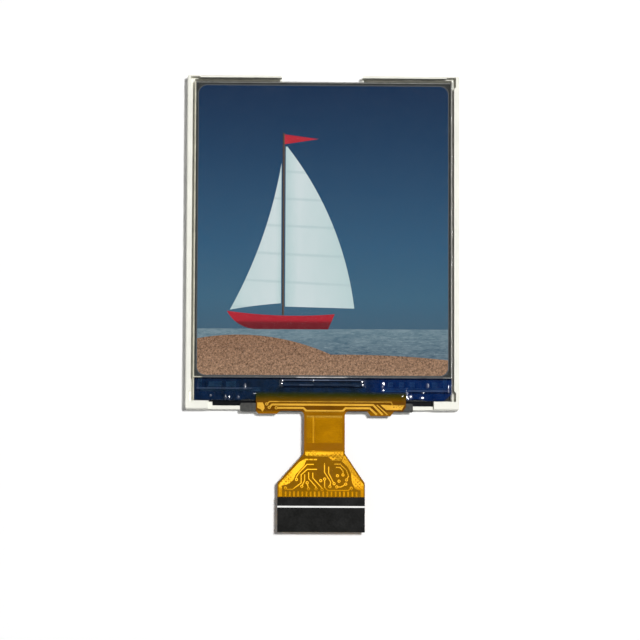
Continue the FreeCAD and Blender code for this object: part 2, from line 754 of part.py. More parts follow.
def ledge_tracks():
    """The thin-film pattern of the ledge: the chip's fan-out, side runs and test pads."""
    base = lower_glass_face
    tracks = []
    chip_step = (CHIP_LENGTH - FAN_TRACK * 2) / FAN_COUNT
    bond_step = (CHIP_LENGTH + FAN_FLARE) / FAN_COUNT
    fan_start = chip_end - FAN_MARGIN
    fan_stop = bar_top + FAN_MARGIN
    for index in range(FAN_COUNT):
        place = index - (FAN_COUNT - 1) / 2
        x_chip = CHIP_CENTRE + place * chip_step
        x_bond = CHIP_CENTRE + place * bond_step
        tracks.append(track([(x_chip, fan_start), (x_bond, fan_stop)], FAN_TRACK, base, TRACK_FILM))

    run_end = glass_half - SIDE_RUN_MARGIN
    for side in (-1, 1):
        chip_side = CHIP_CENTRE + side * CHIP_LENGTH / 2
        for index in range(SIDE_RUNS):
            y = chip_top - RUN_SETBACK - index * SIDE_RUN_PITCH
            x_far = side * (run_end - index * SIDE_RUN_PITCH)
            x_break = chip_side + side * (SIDE_RUN_START - index * SIDE_RUN_PITCH / 2)
            tracks.append(track([(chip_side + side * FAN_MARGIN, y), (x_break, y),
                                (x_break + side * SIDE_RUN_SLOPE, y - SIDE_RUN_DROP),
                                (x_far, y - SIDE_RUN_DROP), (x_far, upper_glass_end - FAN_MARGIN)],
                               FAN_TRACK, base, TRACK_FILM))
    pad_end = chip_end - PAD_DROP
    pads = [(inset - glass_half, width) for inset, width in LEFT_PADS]
    pads += [(glass_half - inset, width) for inset, width in RIGHT_PADS]
    for x, width in pads:
        tracks.append(block(x - width / 2, x + width / 2, pad_end, pad_end + PAD_LENGTH,
                            base, base + TRACK_FILM))
    return Part.makeCompound(tracks)


def ledge_coating():
    """The protective coating: one run of cured resin that falls from the upper glass to the circuit."""
    base = lower_glass_face + TRACK_FILM
    half = glass_half - COATING_INSET
    top = upper_glass_face - COATING_DROP
    end = lower_glass_end
    middle = (chip_top + chip_end) / 2
    bar_height = circuit_face + COATING_OVER_CIRCUIT
    edges = [
        Part.makeLine(Vector(-half, end, base), Vector(-half, upper_glass_end, base)),
        Part.makeLine(Vector(-half, upper_glass_end, base), Vector(-half, upper_glass_end, top)),
        Part.Arc(Vector(-half, upper_glass_end, top),
                 Vector(-half, middle, chip_face + COATING_OVER_CHIP),
                 Vector(-half, bar_top, bar_height)).toShape(),
        Part.makeLine(Vector(-half, bar_top, bar_height), Vector(-half, end, circuit_face + COATING_LIP)),
        Part.makeLine(Vector(-half, end, circuit_face + COATING_LIP), Vector(-half, end, base)),
    ]
    body = Part.Face(Part.Wire(edges)).extrude(Vector(2 * half, 0, 0))
    chip = driver_chip().fuse(chip_bond())
    bar = block(bar_left, bar_right, lower_glass_end, bar_top, base, circuit_face)
    return body.cut([chip, bar])


def circuit_sheet(base, thickness):
    """The circuit's outline: cross bar with two bumps, narrow neck, flare and contact tail."""
    left_low = bar_end - LEFT_BUMP_DROP
    right_low = bar_end - RIGHT_BUMP_DROP
    neck_corners = [(neck_left, bar_end), (neck_right, bar_end)]
    flare_starts = [(neck_left, flare_top), (neck_right, flare_top)]
    flare_stops = [(tail_left, flare_end), (tail_right, flare_end)]
    sheet = plate([
        (bar_left, bar_top),
        (bar_left, bar_end),
        (left_bump, left_low),
        (left_bump_end, left_low),
        (left_bump_end + BUMP_SLOPE, bar_end),
        neck_corners[0],
        flare_starts[0],
        flare_stops[0],
        (tail_left, tail_end),
        (tail_right, tail_end),
        flare_stops[1],
        flare_starts[1],
        neck_corners[1],
        (right_bump - BUMP_SLOPE, bar_end),
        (right_bump, right_low),
        (right_bump_end, right_low),
        (right_bump_end + BUMP_SLOPE, bar_end),
        (bar_right - BAR_END_SLOPE, bar_end),
        (bar_right, bar_end + BOND_OVERLAP / 2),
        (bar_right, bar_top),
    ], base, thickness)
    sheet = rounded(sheet, neck_corners, NECK_ROUND)
    return rounded(sheet, flare_starts + flare_stops, FLARE_ROUND)


def hatch_holes(x0, x1, y0, y1):
    """A staggered field of small square holes in the copper."""
    holes = []
    half = HATCH / 2
    columns = int((x1 - x0) / HATCH_PITCH)
    rows = int((y1 - y0) / (HATCH_PITCH / 2))
    for row in range(rows):
        for column in range(columns):
            x = x0 + (column + 0.5 + 0.5 * (row % 2)) * HATCH_PITCH
            y = y0 + (row + 0.5) * HATCH_PITCH / 2
            holes.append(plate([(x - half, y), (x, y - half), (x + half, y), (x, y + half)],
                               copper_base, COPPER))
    return holes


def bar_copper():
    """Tracks and pours of the cross bar, and the places of its plated holes."""
    layer = (copper_base, COPPER)
    bump_end = bar_end - RIGHT_BUMP_DROP + POUR_MARGIN
    top = bar_end + TOP_RUN
    middle = bar_end + MIDDLE_RUN
    low = bar_end + LOW_RUN
    left_vias = placed(BAR_VIAS_LEFT, bar_left, bar_end)
    right_via = (bar_right + BAR_VIA_RIGHT[0], bar_end + BAR_VIA_RIGHT[1])
    dip_left = neck_left - VIA_HOLE
    dip_right = neck_right + VIA_HOLE
    tracks = [
        track([left_vias[0], (left_vias[0][0] + RUN_JOG, top), (right_via[0] - RUN_JOG, top), right_via],
              TRACK, *layer),
        track([left_vias[1], (left_vias[1][0] + RUN_JOG, middle), (right_bump + DIAGONAL_STARTS[1], middle),
               (right_bump + DIAGONAL_ENDS[1], bump_end)], WIDE_TRACK, *layer),
        track([left_vias[2], (dip_left, low), (dip_left + RUN_JOG, low - RUN_JOG),
               (dip_right - RUN_JOG, low - RUN_JOG), (dip_right, low), (right_bump + DIAGONAL_STARTS[0], low),
               (right_bump + DIAGONAL_ENDS[0], bump_end)], WIDE_TRACK, *layer),
        track([(right_bump + DIAGONAL_STARTS[2], middle), (right_bump + DIAGONAL_ENDS[2], bump_end)],
              TRACK, *layer),
    ]
    left_pour = plate(placed(LEFT_POUR, bar_left, bar_end), *layer)
    right_pour = plate(placed(RIGHT_POUR_LEFT, right_bump, bar_end)
                       + [(bar_right - BAR_END_SLOPE - POUR_MARGIN, bar_end + POUR_MARGIN),
                          (bar_right - POUR_MARGIN, middle)], *layer)
    holes = hatch_holes(bar_right + HATCH_RIGHT[0], bar_right + HATCH_RIGHT[1], low, middle)
    return tracks + [left_pour, right_pour.cut(holes)], left_vias + [right_via]


def neck_copper():
    """Two broad planes down the neck, with a fine slit between them."""
    top = bar_end - NECK_ROUND
    end = flare_top + NECK_PLANE_STOP
    slit = neck_left + NECK_SLIT_PLACE
    planes = []
    for left, right in ((neck_left + NECK_PLANE_MARGIN, slit),
                        (slit + NECK_SLIT, neck_right - NECK_PLANE_MARGIN)):
        planes.append(block(left, right, end, top, copper_base, cover_base))
    return planes


def flare_pours():
    """The hatched pour at the flare's head and the two pours down its flanks."""
    layer = (copper_base, COPPER)
    foot = stiffener_top + POUR_MARGIN / 2
    head = plate([(neck_left + POUR_MARGIN, flare_top + HEAD_LOW),
                  (neck_left + POUR_MARGIN, flare_top + HEAD_TOP),
                  (neck_right - POUR_MARGIN, flare_top + HEAD_TOP)]
                 + placed(HEAD_POCKET, neck_right, flare_top), *layer)
    for x0, x1, y0, y1 in HEAD_HATCHES:
        head = head.cut(hatch_holes(neck_left + x0, neck_left + x1, flare_top + y0, flare_top + y1))
    pours = [head]
    for edge, side, flank, hatch in ((tail_left, 1, LEFT_FLANK, LEFT_HATCH),
                                     (tail_right, -1, RIGHT_FLANK, RIGHT_HATCH)):
        outer = edge + side * POUR_MARGIN
        inner = placed(flank, edge, flare_end)
        pour = plate([(outer, flare_end + FLANK_TOP), (outer, foot), (inner[0][0], foot)] + inner, *layer)
        x0, x1, y0, y1 = hatch
        pours.append(pour.cut(hatch_holes(edge + x0, edge + x1, flare_end + y0, flare_end + y1)))
    return pours


def flare_tracks():
    """The winding tracks of the flare, and the places of its plated holes."""
    tracks = []
    vias = placed(FLARE_LONE_VIAS, TAIL_CENTRE, flare_end)
    for route in FLARE_ROUTES:
        points = placed(route, TAIL_CENTRE, flare_end)
        tracks.append(track(points, TRACK, copper_base, COPPER))
        vias.append(points[-1])
    return tracks, vias


def contact_places():
    """The places along X of the tail's contacts."""
    middle = (CONTACT_COUNT - 1) / 2
    return [TAIL_CENTRE + (index - middle) * CONTACT_PITCH for index in range(CONTACT_COUNT)]


def finger_tracks():
    """The short tracks that lead down to the contacts, between the flank pours."""
    foot = stiffener_top + POUR_MARGIN / 2
    left = tail_left + LEFT_FLANK[0][0]
    right = tail_right + RIGHT_FLANK[0][0]
    half = FINGER_TRACK / 2
    return [block(x - half, x + half, foot, foot + FINGER_LENGTH, copper_base, cover_base)
            for x in contact_places() if left < x - FINGER_TRACK and x + FINGER_TRACK < right]


def circuit_copper():
    """All the copper that shows through the cover film, with its plated holes open."""
    bar_parts, bar_vias = bar_copper()
    tracks, flare_vias = flare_tracks()
    vias = bar_vias + flare_vias
    rings = [via_plate(place, VIA_RADIUS) for place in vias]
    holes = [via_plate(place, VIA_HOLE) for place in vias]
    pieces = bar_parts + neck_copper() + flare_pours() + tracks + finger_tracks() + rings
    joined = pieces[0].multiFuse(pieces[1:]).removeSplitter()
    return joined.cut(holes)


def tail_sheet(top, base, thickness):
    """A plate over the whole width of the tail, from its end up to a given line."""
    return block(tail_left, tail_right, tail_end, top, base, base + thickness)


def stiffener_mark():
    """The printed line across the stiffener."""
    line = stiffener_top - MARK_DISTANCE
    return block(tail_left, tail_right, line - MARK_WIDTH, line, circuit_face + STIFFENER,
                 circuit_face + STIFFENER + MARK_THICKNESS)


def tail_contacts():
    """The row of contacts on the rear of the tail."""
    start = tail_end + CONTACT_SETBACK
    return Part.makeCompound([
        block(x - CONTACT_WIDTH / 2, x + CONTACT_WIDTH / 2, start, start + CONTACT_LENGTH,
              circuit_base - CONTACT_THICKNESS, circuit_base) for x in contact_places()])


def support_tape():
    """The dark tape on the low end wall, cut away where the strip's tab comes up."""
    end = frame_end - TAPE_OVERHANG
    top = end + TAPE_WIDTH
    tape = rounded_plate(bar_left - TAPE_LEFT_REACH, bar_right + TAPE_RIGHT_REACH, end, top,
                         tape_base, SUPPORT_TAPE, TAPE_ROUND)
    slot = TAB_WIDTH / 2 + TAB_SLOT_GAP
    return tape.cut(block(tab_centre - slot, tab_centre + slot, end, top, tape_base, circuit_base))


def all_parts():
    """Every sub-part of the module by the name of its file."""
    film_base = guide_face + DIFFUSER
    front_end = upper_glass_end + POLARIZER_END_INSET
    solids = {
        "backlight_frame": backlight_frame(),
        "reflector_sheet": reflector_outline(0),
        "light_guide": light_guide(),
        "diffuser_film": film(guide_face, DIFFUSER),
        "prism_film_lower": film(film_base, PRISM_FILM),
        "prism_film_upper": film(film_base + PRISM_FILM, PRISM_FILM),
        "rim_tape": rim_tape(),
        "light_strip_circuit": light_strip(),
        "light_strip_tape": strip_tape(),
        "light_solder": light_solder(),
        "tab_solder": tab_solder(),
        "rear_polarizer": polarizer(rear_polarizer_base, REAR_POLARIZER, upper_glass_end - BORDER_END),
        "array_glass": glass_sheet(lower_glass_end, lower_glass_base),
        "cell_seal": cell_seal(),
        "liquid_crystal": cell_space(MATRIX_INSET, lower_glass_face, CELL_GAP),
        "black_matrix": black_matrix(),
        "colour_filter_glass": glass_sheet(upper_glass_end, upper_glass_base),
        "front_polarizer": polarizer(upper_glass_face, FRONT_POLARIZER, front_end),
        "ledge_tracks": ledge_tracks(),
        "driver_chip": driver_chip(),
        "chip_bond_film": chip_bond(),
        "circuit_bond_film": circuit_bond(),
        "ledge_coating": ledge_coating(),
        "circuit_base_film": circuit_sheet(circuit_base, CIRCUIT_BASE),
        "circuit_copper": circuit_copper(),
        "circuit_cover_film": circuit_sheet(cover_base, COVER_FILM),
        "tail_stiffener": tail_sheet(stiffener_top, circuit_face, STIFFENER),
        "stiffener_mark": stiffener_mark(),
        "tail_contacts": tail_contacts(),
        "support_tape": support_tape(),
    }
    for index, centre in enumerate(light_centres(), start=1):
        solids[f"light_housing_{index}"] = light_housing(centre)
        solids[f"light_window_{index}"] = light_window(centre)
    solids.update(picture_fields())
    return solids


os.makedirs("parts", exist_ok=True)
for name, shape in all_parts().items():
    shape.exportStep(f"parts/{name}.step")
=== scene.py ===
"""A small colour display module lying on its back on a plain pale floor."""

import logging
import math
from dataclasses import dataclass
from enum import Enum

import bpy
from bpy.types import Material, Node, NodeSocket, NodeTree, Object
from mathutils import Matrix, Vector, noise


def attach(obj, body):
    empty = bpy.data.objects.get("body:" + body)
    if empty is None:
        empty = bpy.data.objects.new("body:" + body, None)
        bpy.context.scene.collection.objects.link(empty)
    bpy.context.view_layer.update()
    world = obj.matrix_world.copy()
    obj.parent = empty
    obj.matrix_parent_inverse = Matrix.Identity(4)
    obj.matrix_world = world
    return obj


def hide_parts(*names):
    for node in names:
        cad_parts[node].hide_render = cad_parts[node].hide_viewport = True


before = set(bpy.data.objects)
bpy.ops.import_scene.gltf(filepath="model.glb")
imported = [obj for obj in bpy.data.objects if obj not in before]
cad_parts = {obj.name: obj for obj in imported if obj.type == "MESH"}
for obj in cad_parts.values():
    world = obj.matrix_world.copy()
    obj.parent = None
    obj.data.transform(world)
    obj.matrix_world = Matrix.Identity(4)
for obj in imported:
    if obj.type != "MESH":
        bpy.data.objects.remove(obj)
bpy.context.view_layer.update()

MM = 0.001
LOG = logging.getLogger("display_module")

# The slope of the ledge's skin that mirrors the key lamp to the camera: across the module at its middle,
# how much less it is a millimetre further to the right, and along the module.
MIRROR_ACROSS = 0.118
MIRROR_CHANGE = 0.0015
MIRROR_ALONG = 0.0205

# The steepest slope of a blister that is one high and reaches one far.
FLANK_SLOPE = math.exp(-0.5)

BLACK = (0.0, 0.0, 0.0, 1.0)
WHITE = (1.0, 1.0, 1.0, 1.0)

Colour = tuple[int, int, int]
Stops = tuple[tuple[float, Colour], ...]
Place = tuple[float, float, float]


def linear(colour: Colour) -> tuple[float, float, float, float]:
    """Turn a colour of 0 to 255 a channel into the linear one that a socket takes.

    Args:
        colour: Red, green and blue as seen on screen.

    Returns:
        The linear colour with full opacity.
    """
    parts = []
    for part in colour:
        share = part / 255
        parts.append(share / 12.92 if share <= 0.04045 else ((share + 0.055) / 1.055) ** 2.4)
    return (parts[0], parts[1], parts[2], 1.0)


def grey(level: int) -> Colour:
    """Give a grey of 0 to 255."""
    return (level, level, level)


def ease(value: float) -> float:
    """Give a smooth step from 0 to 1 for a value that goes from 0 to 1."""
    value = min(1.0, max(0.0, value))
    return value * value * (3 - 2 * value)


class Axis(Enum):
    """The axis of the module that a colour changes along."""

    ACROSS = "X"
    ALONG = "Y"
    UP = "Z"


class Nodes:
    """A node tree, with the steps that build it."""

    def __init__(self, tree: NodeTree) -> None:
        """Take the tree that the nodes go into."""
        self.tree = tree

    def add(self, kind: str, **options: object) -> Node:
        """Add a shader node.

        Args:
            kind: The node's type.
            **options: Its own options.

        Returns:
            The node.
        """
        node = self.tree.nodes.new("ShaderNode" + kind)
        for name, value in options.items():
            setattr(node, name, value)
        return node

    def put(self, value: NodeSocket | Colour | float, socket: NodeSocket) -> None:
        """Give an input another socket's value, a colour or a number.

        Args:
            value: What the input gets.
            socket: The input.
        """
        if isinstance(value, NodeSocket):
            self.tree.links.new(value, socket)
        else:
            socket.default_value = linear(value) if isinstance(value, tuple) else value

    def fed(self, node: Node, vector: NodeSocket, **values: object) -> Node:
        """Give a node its vector and its plain values.

        Args:
            node: The node.
            vector: The socket that feeds its Vector input.
            **values: The values of its other inputs.

        Returns:
            The same node.
        """
        self.put(vector, node.inputs["Vector"])
        for name, value in values.items():
            node.inputs[name].default_value = value
        return node

    def join(self, way: str, first: NodeSocket, second: NodeSocket | float,
             third: NodeSocket | float = 0.0) -> NodeSocket:
        """Work out one number from up to three.

        Args:
            way: The math node's operation.
            first: The first number's socket.
            second: The second number, or its socket.
            third: The third number, or its socket.

        Returns:
            The result's socket.
        """
        node = self.add("Math", operation=way)
        for value, socket in zip((first, second, third), node.inputs):
            self.put(value, socket)
        return node.outputs[0]

    def level(self, factor: NodeSocket, low: NodeSocket | float, high: NodeSocket | float,
              start: float = 0.0, end: float = 1.0) -> NodeSocket:
        """Carry a factor over to another range of values.

        Args:
            factor: The socket that is carried over.
            low: The value given at the start.
            high: The value given at the end.
            start: The factor that gives the low value.
            end: The factor that gives the high value.

        Returns:
            The value's socket.
        """
        node = self.add("MapRange")
        for name, value in (("Value", factor), ("From Min", start), ("From Max", end), ("To Min", low),
                            ("To Max", high)):
            self.put(value, node.inputs[name])
        return node.outputs["Result"]

    def blend(self, factor: NodeSocket | float, first: NodeSocket | Colour, second: NodeSocket | Colour,
              way: str = "MIX") -> NodeSocket:
        """Mix two colours.

        Args:
            factor: How much of the second colour shows, as a socket or a number.
            first: The first colour or its socket.
            second: The second colour or its socket.
            way: The blend type.

        Returns:
            The mixed colour's socket.
        """
        node = self.add("Mix", data_type="RGBA", blend_type=way)
        for value, place in ((factor, 0), (first, 6), (second, 7)):
            self.put(value, node.inputs[place])
        return node.outputs[2]


class Effect(Nodes):
    """A node group that reads coordinates and a size."""

    def __init__(self, name: str, inputs: dict[str, str], outputs: dict[str, str]) -> None:
        """Start the group with its sockets.

        Args:
            name: The group's name.
            inputs: The names and types of the inputs beside Vector and Size.
            outputs: The outputs' names and types.
        """
        super().__init__(bpy.data.node_groups.new(name, "ShaderNodeTree"))
        read = {"Vector": "Vector", "Size": "Float", **inputs}
        for way, sockets in (("INPUT", read), ("OUTPUT", outputs)):
            for label, kind in sockets.items():
                self.tree.interface.new_socket(label, in_out=way, socket_type="NodeSocket" + kind)
        self.source = self.tree.nodes.new("NodeGroupInput")
        self.sink = self.tree.nodes.new("NodeGroupOutput")

    def clouds(self, scale: float, detail: float, **values: float) -> NodeSocket:
        """Add a noise pattern that reads the group's coordinates times its size.

        Args:
            scale: How much finer than the group's size the pattern is.
            detail: The noise's detail.
            **values: The noise's other inputs.

        Returns:
            The pattern's socket.
        """
        pattern = self.fed(self.add("TexNoise"), self.source.outputs["Vector"], Detail=detail, **values)
        self.put(self.join("MULTIPLY", self.source.outputs["Size"], scale), pattern.inputs["Scale"])
        return pattern.outputs["Fac"]

    def give(self, **values: NodeSocket) -> NodeTree:
        """Link the group's outputs.

        Args:
            **values: The socket that feeds each output.

        Returns:
            The finished group.
        """
        for name, value in values.items():
            self.put(value, self.sink.inputs[name])
        return self.tree


class Effects:
    """The shared effects, each built once as a node group."""

    def __init__(self) -> None:
        """Build every effect."""
        self.mottle = self.make_mottle()
        self.grain = self.make_grain()
        self.speckle = self.make_speckle()

    @staticmethod
    def make_mottle() -> NodeTree:
        """Build soft patches of two colours, with finer flecks in them.

        Returns:
            The node group.
        """
        effect = Effect("soft_mottle", {"Low": "Color", "High": "Color"},
                        {"Colour": "Color", "Mask": "Float"})
        total = effect.join("MULTIPLY_ADD", effect.clouds(14.0, 2.0), 0.35, effect.clouds(1.0, 3.0))
        mask = effect.level(total, 0.0, 1.0, 0.45, 0.90)
        low, high = effect.source.outputs["Low"], effect.source.outputs["High"]
        return effect.give(Colour=effect.blend(mask, low, high), Mask=mask)

    @staticmethod
    def make_grain() -> NodeTree:
        """Build a fine grain with the roughness that goes with it.

        Returns:
            The node group.
        """
        effect = Effect("fine_grain", {"Smooth": "Float", "Rough": "Float"},
                        {"Height": "Float", "Roughness": "Float"})
        smooth, rough = effect.source.outputs["Smooth"], effect.source.outputs["Rough"]
        patches = effect.level(effect.clouds(0.12, 2.0), smooth, rough, 0.35, 0.65)
        return effect.give(Height=effect.clouds(1.0, 4.0), Roughness=patches)

    @staticmethod
    def make_speckle() -> NodeTree:
        """Build hard flecks that come in two sizes.

        Returns:
            The node group.
        """
        effect = Effect("hard_speckle", {}, {"Mask": "Float"})
        large = effect.clouds(1.0, 6.0, Roughness=0.75)
        total = effect.join("MULTIPLY_ADD", effect.clouds(3.7, 2.0), 0.6, large)
        return effect.give(Mask=effect.level(total, 0.0, 1.0, 0.60, 1.00))


class Recipe(Nodes):
    """The node tree of one material, built one step at a time."""

    def __init__(self, name: str, effects: Effects | None = None) -> None:
        """Start a material.

        Args:
            name: The material's name.
            effects: The shared effects, where it uses any.
        """
        self.material: Material = bpy.data.materials.new(name)
        self.material.use_nodes = True
        super().__init__(self.material.node_tree)
        self.effects = effects
        self.shader = self.tree.nodes["Principled BSDF"]
        self.place = self.add("TexCoord").outputs["Object"]

    def keep(self, **values: object) -> None:
        """Set plain values on the shader; an underscore in a name stands for a space."""
        for name, value in values.items():
            self.shader.inputs[name.replace("_", " ")].default_value = value

    def feed(self, source: NodeSocket, name: str) -> None:
        """Link a socket to one of the shader's inputs."""
        self.put(source, self.shader.inputs[name])

    def painted(self, name: str) -> NodeSocket:
        """Give the values that a piece's points carry under a name."""
        return self.add("Attribute", attribute_name=name).outputs["Fac"]

    def stretched(self, sizes: Place, turn: float = 0.0) -> NodeSocket:
        """Scale and turn the object's coordinates for a pattern.

        Args:
            sizes: The scale along each axis.
            turn: The turn about the upright axis, in degrees.

        Returns:
            The coordinates' socket.
        """
        turned = (0.0, 0.0, math.radians(turn))
        return self.fed(self.add("Mapping"), self.place, Scale=sizes, Rotation=turned).outputs["Vector"]

    def along(self, axis: Axis) -> NodeSocket:
        """Give the object's own coordinate along one axis, in metres."""
        return self.fed(self.add("SeparateXYZ"), self.place).outputs[axis.value]

    def span(self, axis: Axis, low: float, high: float) -> NodeSocket:
        """Give a factor that goes from 0 to 1 between two places.

        Args:
            axis: The axis that it changes along.
            low: The place where it is 0, in millimetres.
            high: The place where it is 1, in millimetres.

        Returns:
            The factor's socket.
        """
        return self.level(self.along(axis), 0.0, 1.0, low * MM, high * MM)

    def between(self, axis: Axis, rise: tuple[float, float], fall: tuple[float, float]) -> NodeSocket:
        """Give a mask that is 1 between two soft ends.

        Args:
            axis: The axis that it changes along.
            rise: The places where it is 0 and 1 at the low end, in millimetres.
            fall: The places where it is 0 and 1 at the high end, in millimetres.

        Returns:
            The mask's socket.
        """
        return self.join("MULTIPLY", self.span(axis, *rise), self.span(axis, *fall))

    def ramp(self, factor: NodeSocket, stops: Stops) -> NodeSocket:
        """Turn a factor into a colour.

        Args:
            factor: The socket that gives the place on the ramp.
            stops: Places from 0 to 1, each with its colour.

        Returns:
            The colour's socket.
        """
        node = self.add("ValToRGB")
        line = node.color_ramp.elements
        line[0].position, line[0].color = stops[0][0], linear(stops[0][1])
        line[1].position, line[1].color = stops[-1][0], linear(stops[-1][1])
        for place, colour in stops[1:-1]:
            line.new(place).color = linear(colour)
        self.put(factor, node.inputs["Fac"])
        return node.outputs["Color"]

    def mottled(self, size: float, low: Colour, high: Colour,
                vector: NodeSocket | None = None) -> tuple[NodeSocket, NodeSocket]:
        """Place soft patches of two colours.

        Args:
            size: How fine the patches are.
            low: The first colour.
            high: The second colour.
            vector: The coordinates, where they aren't the object's own.

        Returns:
            The colour's socket and the mask's.
        """
        group = self.add("Group", node_tree=self.effects.mottle)
        node = self.fed(group, vector or self.place, Size=size, Low=linear(low), High=linear(high))
        return node.outputs["Colour"], node.outputs["Mask"]

    def veiled(self, colour: NodeSocket, size: float, shade: int) -> tuple[NodeSocket, NodeSocket]:
        """Darken a colour in soft patches.

        Args:
            colour: The colour's socket.
            size: How fine the patches are.
            shade: The grey that the darkest patches are multiplied with.

        Returns:
            The darkened colour's socket and the patches' mask.
        """
        patches, mask = self.mottled(size, grey(shade), grey(255))
        return self.blend(1.0, colour, patches, "MULTIPLY"), mask

    def grained(self, size: float, smooth: float, rough: float, depth: float = 0.0) -> None:
        """Give the surface a fine grain, with its roughness.

        Args:
            size: How fine the grain is.
            smooth: The roughness of its smoothest patches.
            rough: The roughness of its roughest patches.
            depth: How deep the grain goes, in millimetres.
        """
        group = self.add("Group", node_tree=self.effects.grain)
        node = self.fed(group, self.place, Size=size, Smooth=smooth, Rough=rough)
        self.feed(node.outputs["Roughness"], "Roughness")
        if depth:
            bump = self.add("Bump")
            bump.inputs["Distance"].default_value = depth * MM
            self.put(node.outputs["Height"], bump.inputs["Height"])
            self.feed(bump.outputs["Normal"], "Normal")

    def slopes(self, flat: float = 0.98, steep: float = 0.80) -> NodeSocket:
        """Give a mask that is 0 on faces that lie flat and 1 on those that slope.

        Args:
            flat: The normal's upright part down to which a face counts as flat.
            steep: The upright part from which a face counts as steep.

        Returns:
            The mask's socket.
        """
        split = self.fed(self.add("SeparateXYZ"), self.add("NewGeometry").outputs["Normal"])
        return self.level(self.join("ABSOLUTE", split.outputs["Z"], 0.0), 0.0, 1.0, flat, steep)

    def clear(self, mask: NodeSocket, cover: float, edge_cover: float,
              margin: NodeSocket | float = 0.0) -> None:
        """Let what lies under a sheet show through it, less so at its edges.

        Args:
            mask: The sheet's patches, which vary its cover by a tenth.
            cover: How much of what lies under it the sheet hides.
            edge_cover: How much its edges hide.
            margin: How much its margins hide.
        """
        body = self.level(mask, cover * 0.9, cover * 1.1)
        edge = self.join("MAXIMUM", self.level(self.slopes(), 0.0, edge_cover), margin)
        self.feed(self.join("MAXIMUM", body, edge), "Alpha")

    def lit(self, colour: NodeSocket) -> None:
        """Let the surface shine in a colour, under a smooth gloss.

        Args:
            colour: The colour's socket.
        """
        self.feed(colour, "Emission Color")
        self.grained(2500.0, 0.05, 0.08)
        self.keep(Base_Color=BLACK, Emission_Strength=1.0, IOR=1.15)


@dataclass(frozen=True)
class Finish:
    """A finish, by the name of its material."""

    name: str

    def paint(self, recipe: Recipe) -> None:
        """Add the finish's own nodes.

        Args:
            recipe: The material that they go into.
        """
        raise NotImplementedError

    def make(self, effects: Effects) -> Material:
        """Build the material.

        Args:
            effects: The shared effects.

        Returns:
            The material.
        """
        recipe = Recipe(self.name, effects)
        self.paint(recipe)
        return recipe.material


@dataclass(frozen=True)
class Solid(Finish):
    """An opaque, grained finish of two close colours, for mouldings, films, tapes, ink and metal."""

    low: Colour
    high: Colour
    patch: float = 600.0
    grain: float = 9000.0
    smooth: float = 0.45
    rough: float = 0.60
    depth: float = 0.004
    shine: float = 0.35
    metal: float = 0.0

    def paint(self, recipe: Recipe) -> None:
        """Add the finish's own nodes.

        Args:
            recipe: The material that they go into.
        """
        recipe.feed(recipe.mottled(self.patch, self.low, self.high)[0], "Base Color")
        recipe.grained(self.grain, self.smooth, self.rough, self.depth)
        recipe.keep(Specular_IOR_Level=self.shine, Metallic=self.metal)


def plating(name: str, low: Colour, high: Colour, smooth: float = 0.25, rough: float = 0.45) -> Solid:
    """Give a bare metal finish with a slightly uneven sheen."""
    return Solid(name, low, high, 1500.0, 5000.0, smooth, rough, 0.003, 0.5, 1.0)


@dataclass(frozen=True)
class Banded(Finish):
    """A film or layer whose colour changes along one axis, with soft patches in it."""

    stops: Stops
    low: float
    high: float
    axis: Axis = Axis.ALONG
    cover: float = 1.0
    patch: float = 350.0
    veil: int = 226
    grain: float = 3500.0
    smooth: float = 0.16
    rough: float = 0.30
    depth: float = 0.004
    shine: float = 0.02

    def paint(self, recipe: Recipe) -> None:
        """Add the finish's own nodes.

        Args:
            recipe: The material that they go into.
        """
        bands = recipe.ramp(recipe.span(self.axis, self.low, self.high), self.stops)
        colour, mask = recipe.veiled(bands, self.patch, self.veil)
        recipe.feed(colour, "Base Color")
        if self.cover < 1.0:
            recipe.feed(recipe.level(mask, self.cover * 0.8, self.cover * 1.2), "Alpha")
        recipe.grained(self.grain, self.smooth, self.rough, self.depth)
        recipe.keep(Specular_IOR_Level=self.shine)


@dataclass(frozen=True)
class ClearSheet(Finish):
    """A clear sheet or plate, seen as a thin tint with a gloss and brighter edges."""

    tint: Colour
    cover: float
    edge_cover: float = 0.75
    smooth: float = 0.03
    rough: float = 0.08

    def paint(self, recipe: Recipe) -> None:
        """Add the finish's own nodes.

        Args:
            recipe: The material that they go into.
        """
        paler = tuple(min(255, part + 12) for part in self.tint)
        colour, mask = recipe.mottled(300.0, self.tint, paler)
        recipe.feed(colour, "Base Color")
        recipe.grained(2500.0, self.smooth, self.rough)
        recipe.clear(mask, self.cover, self.edge_cover)


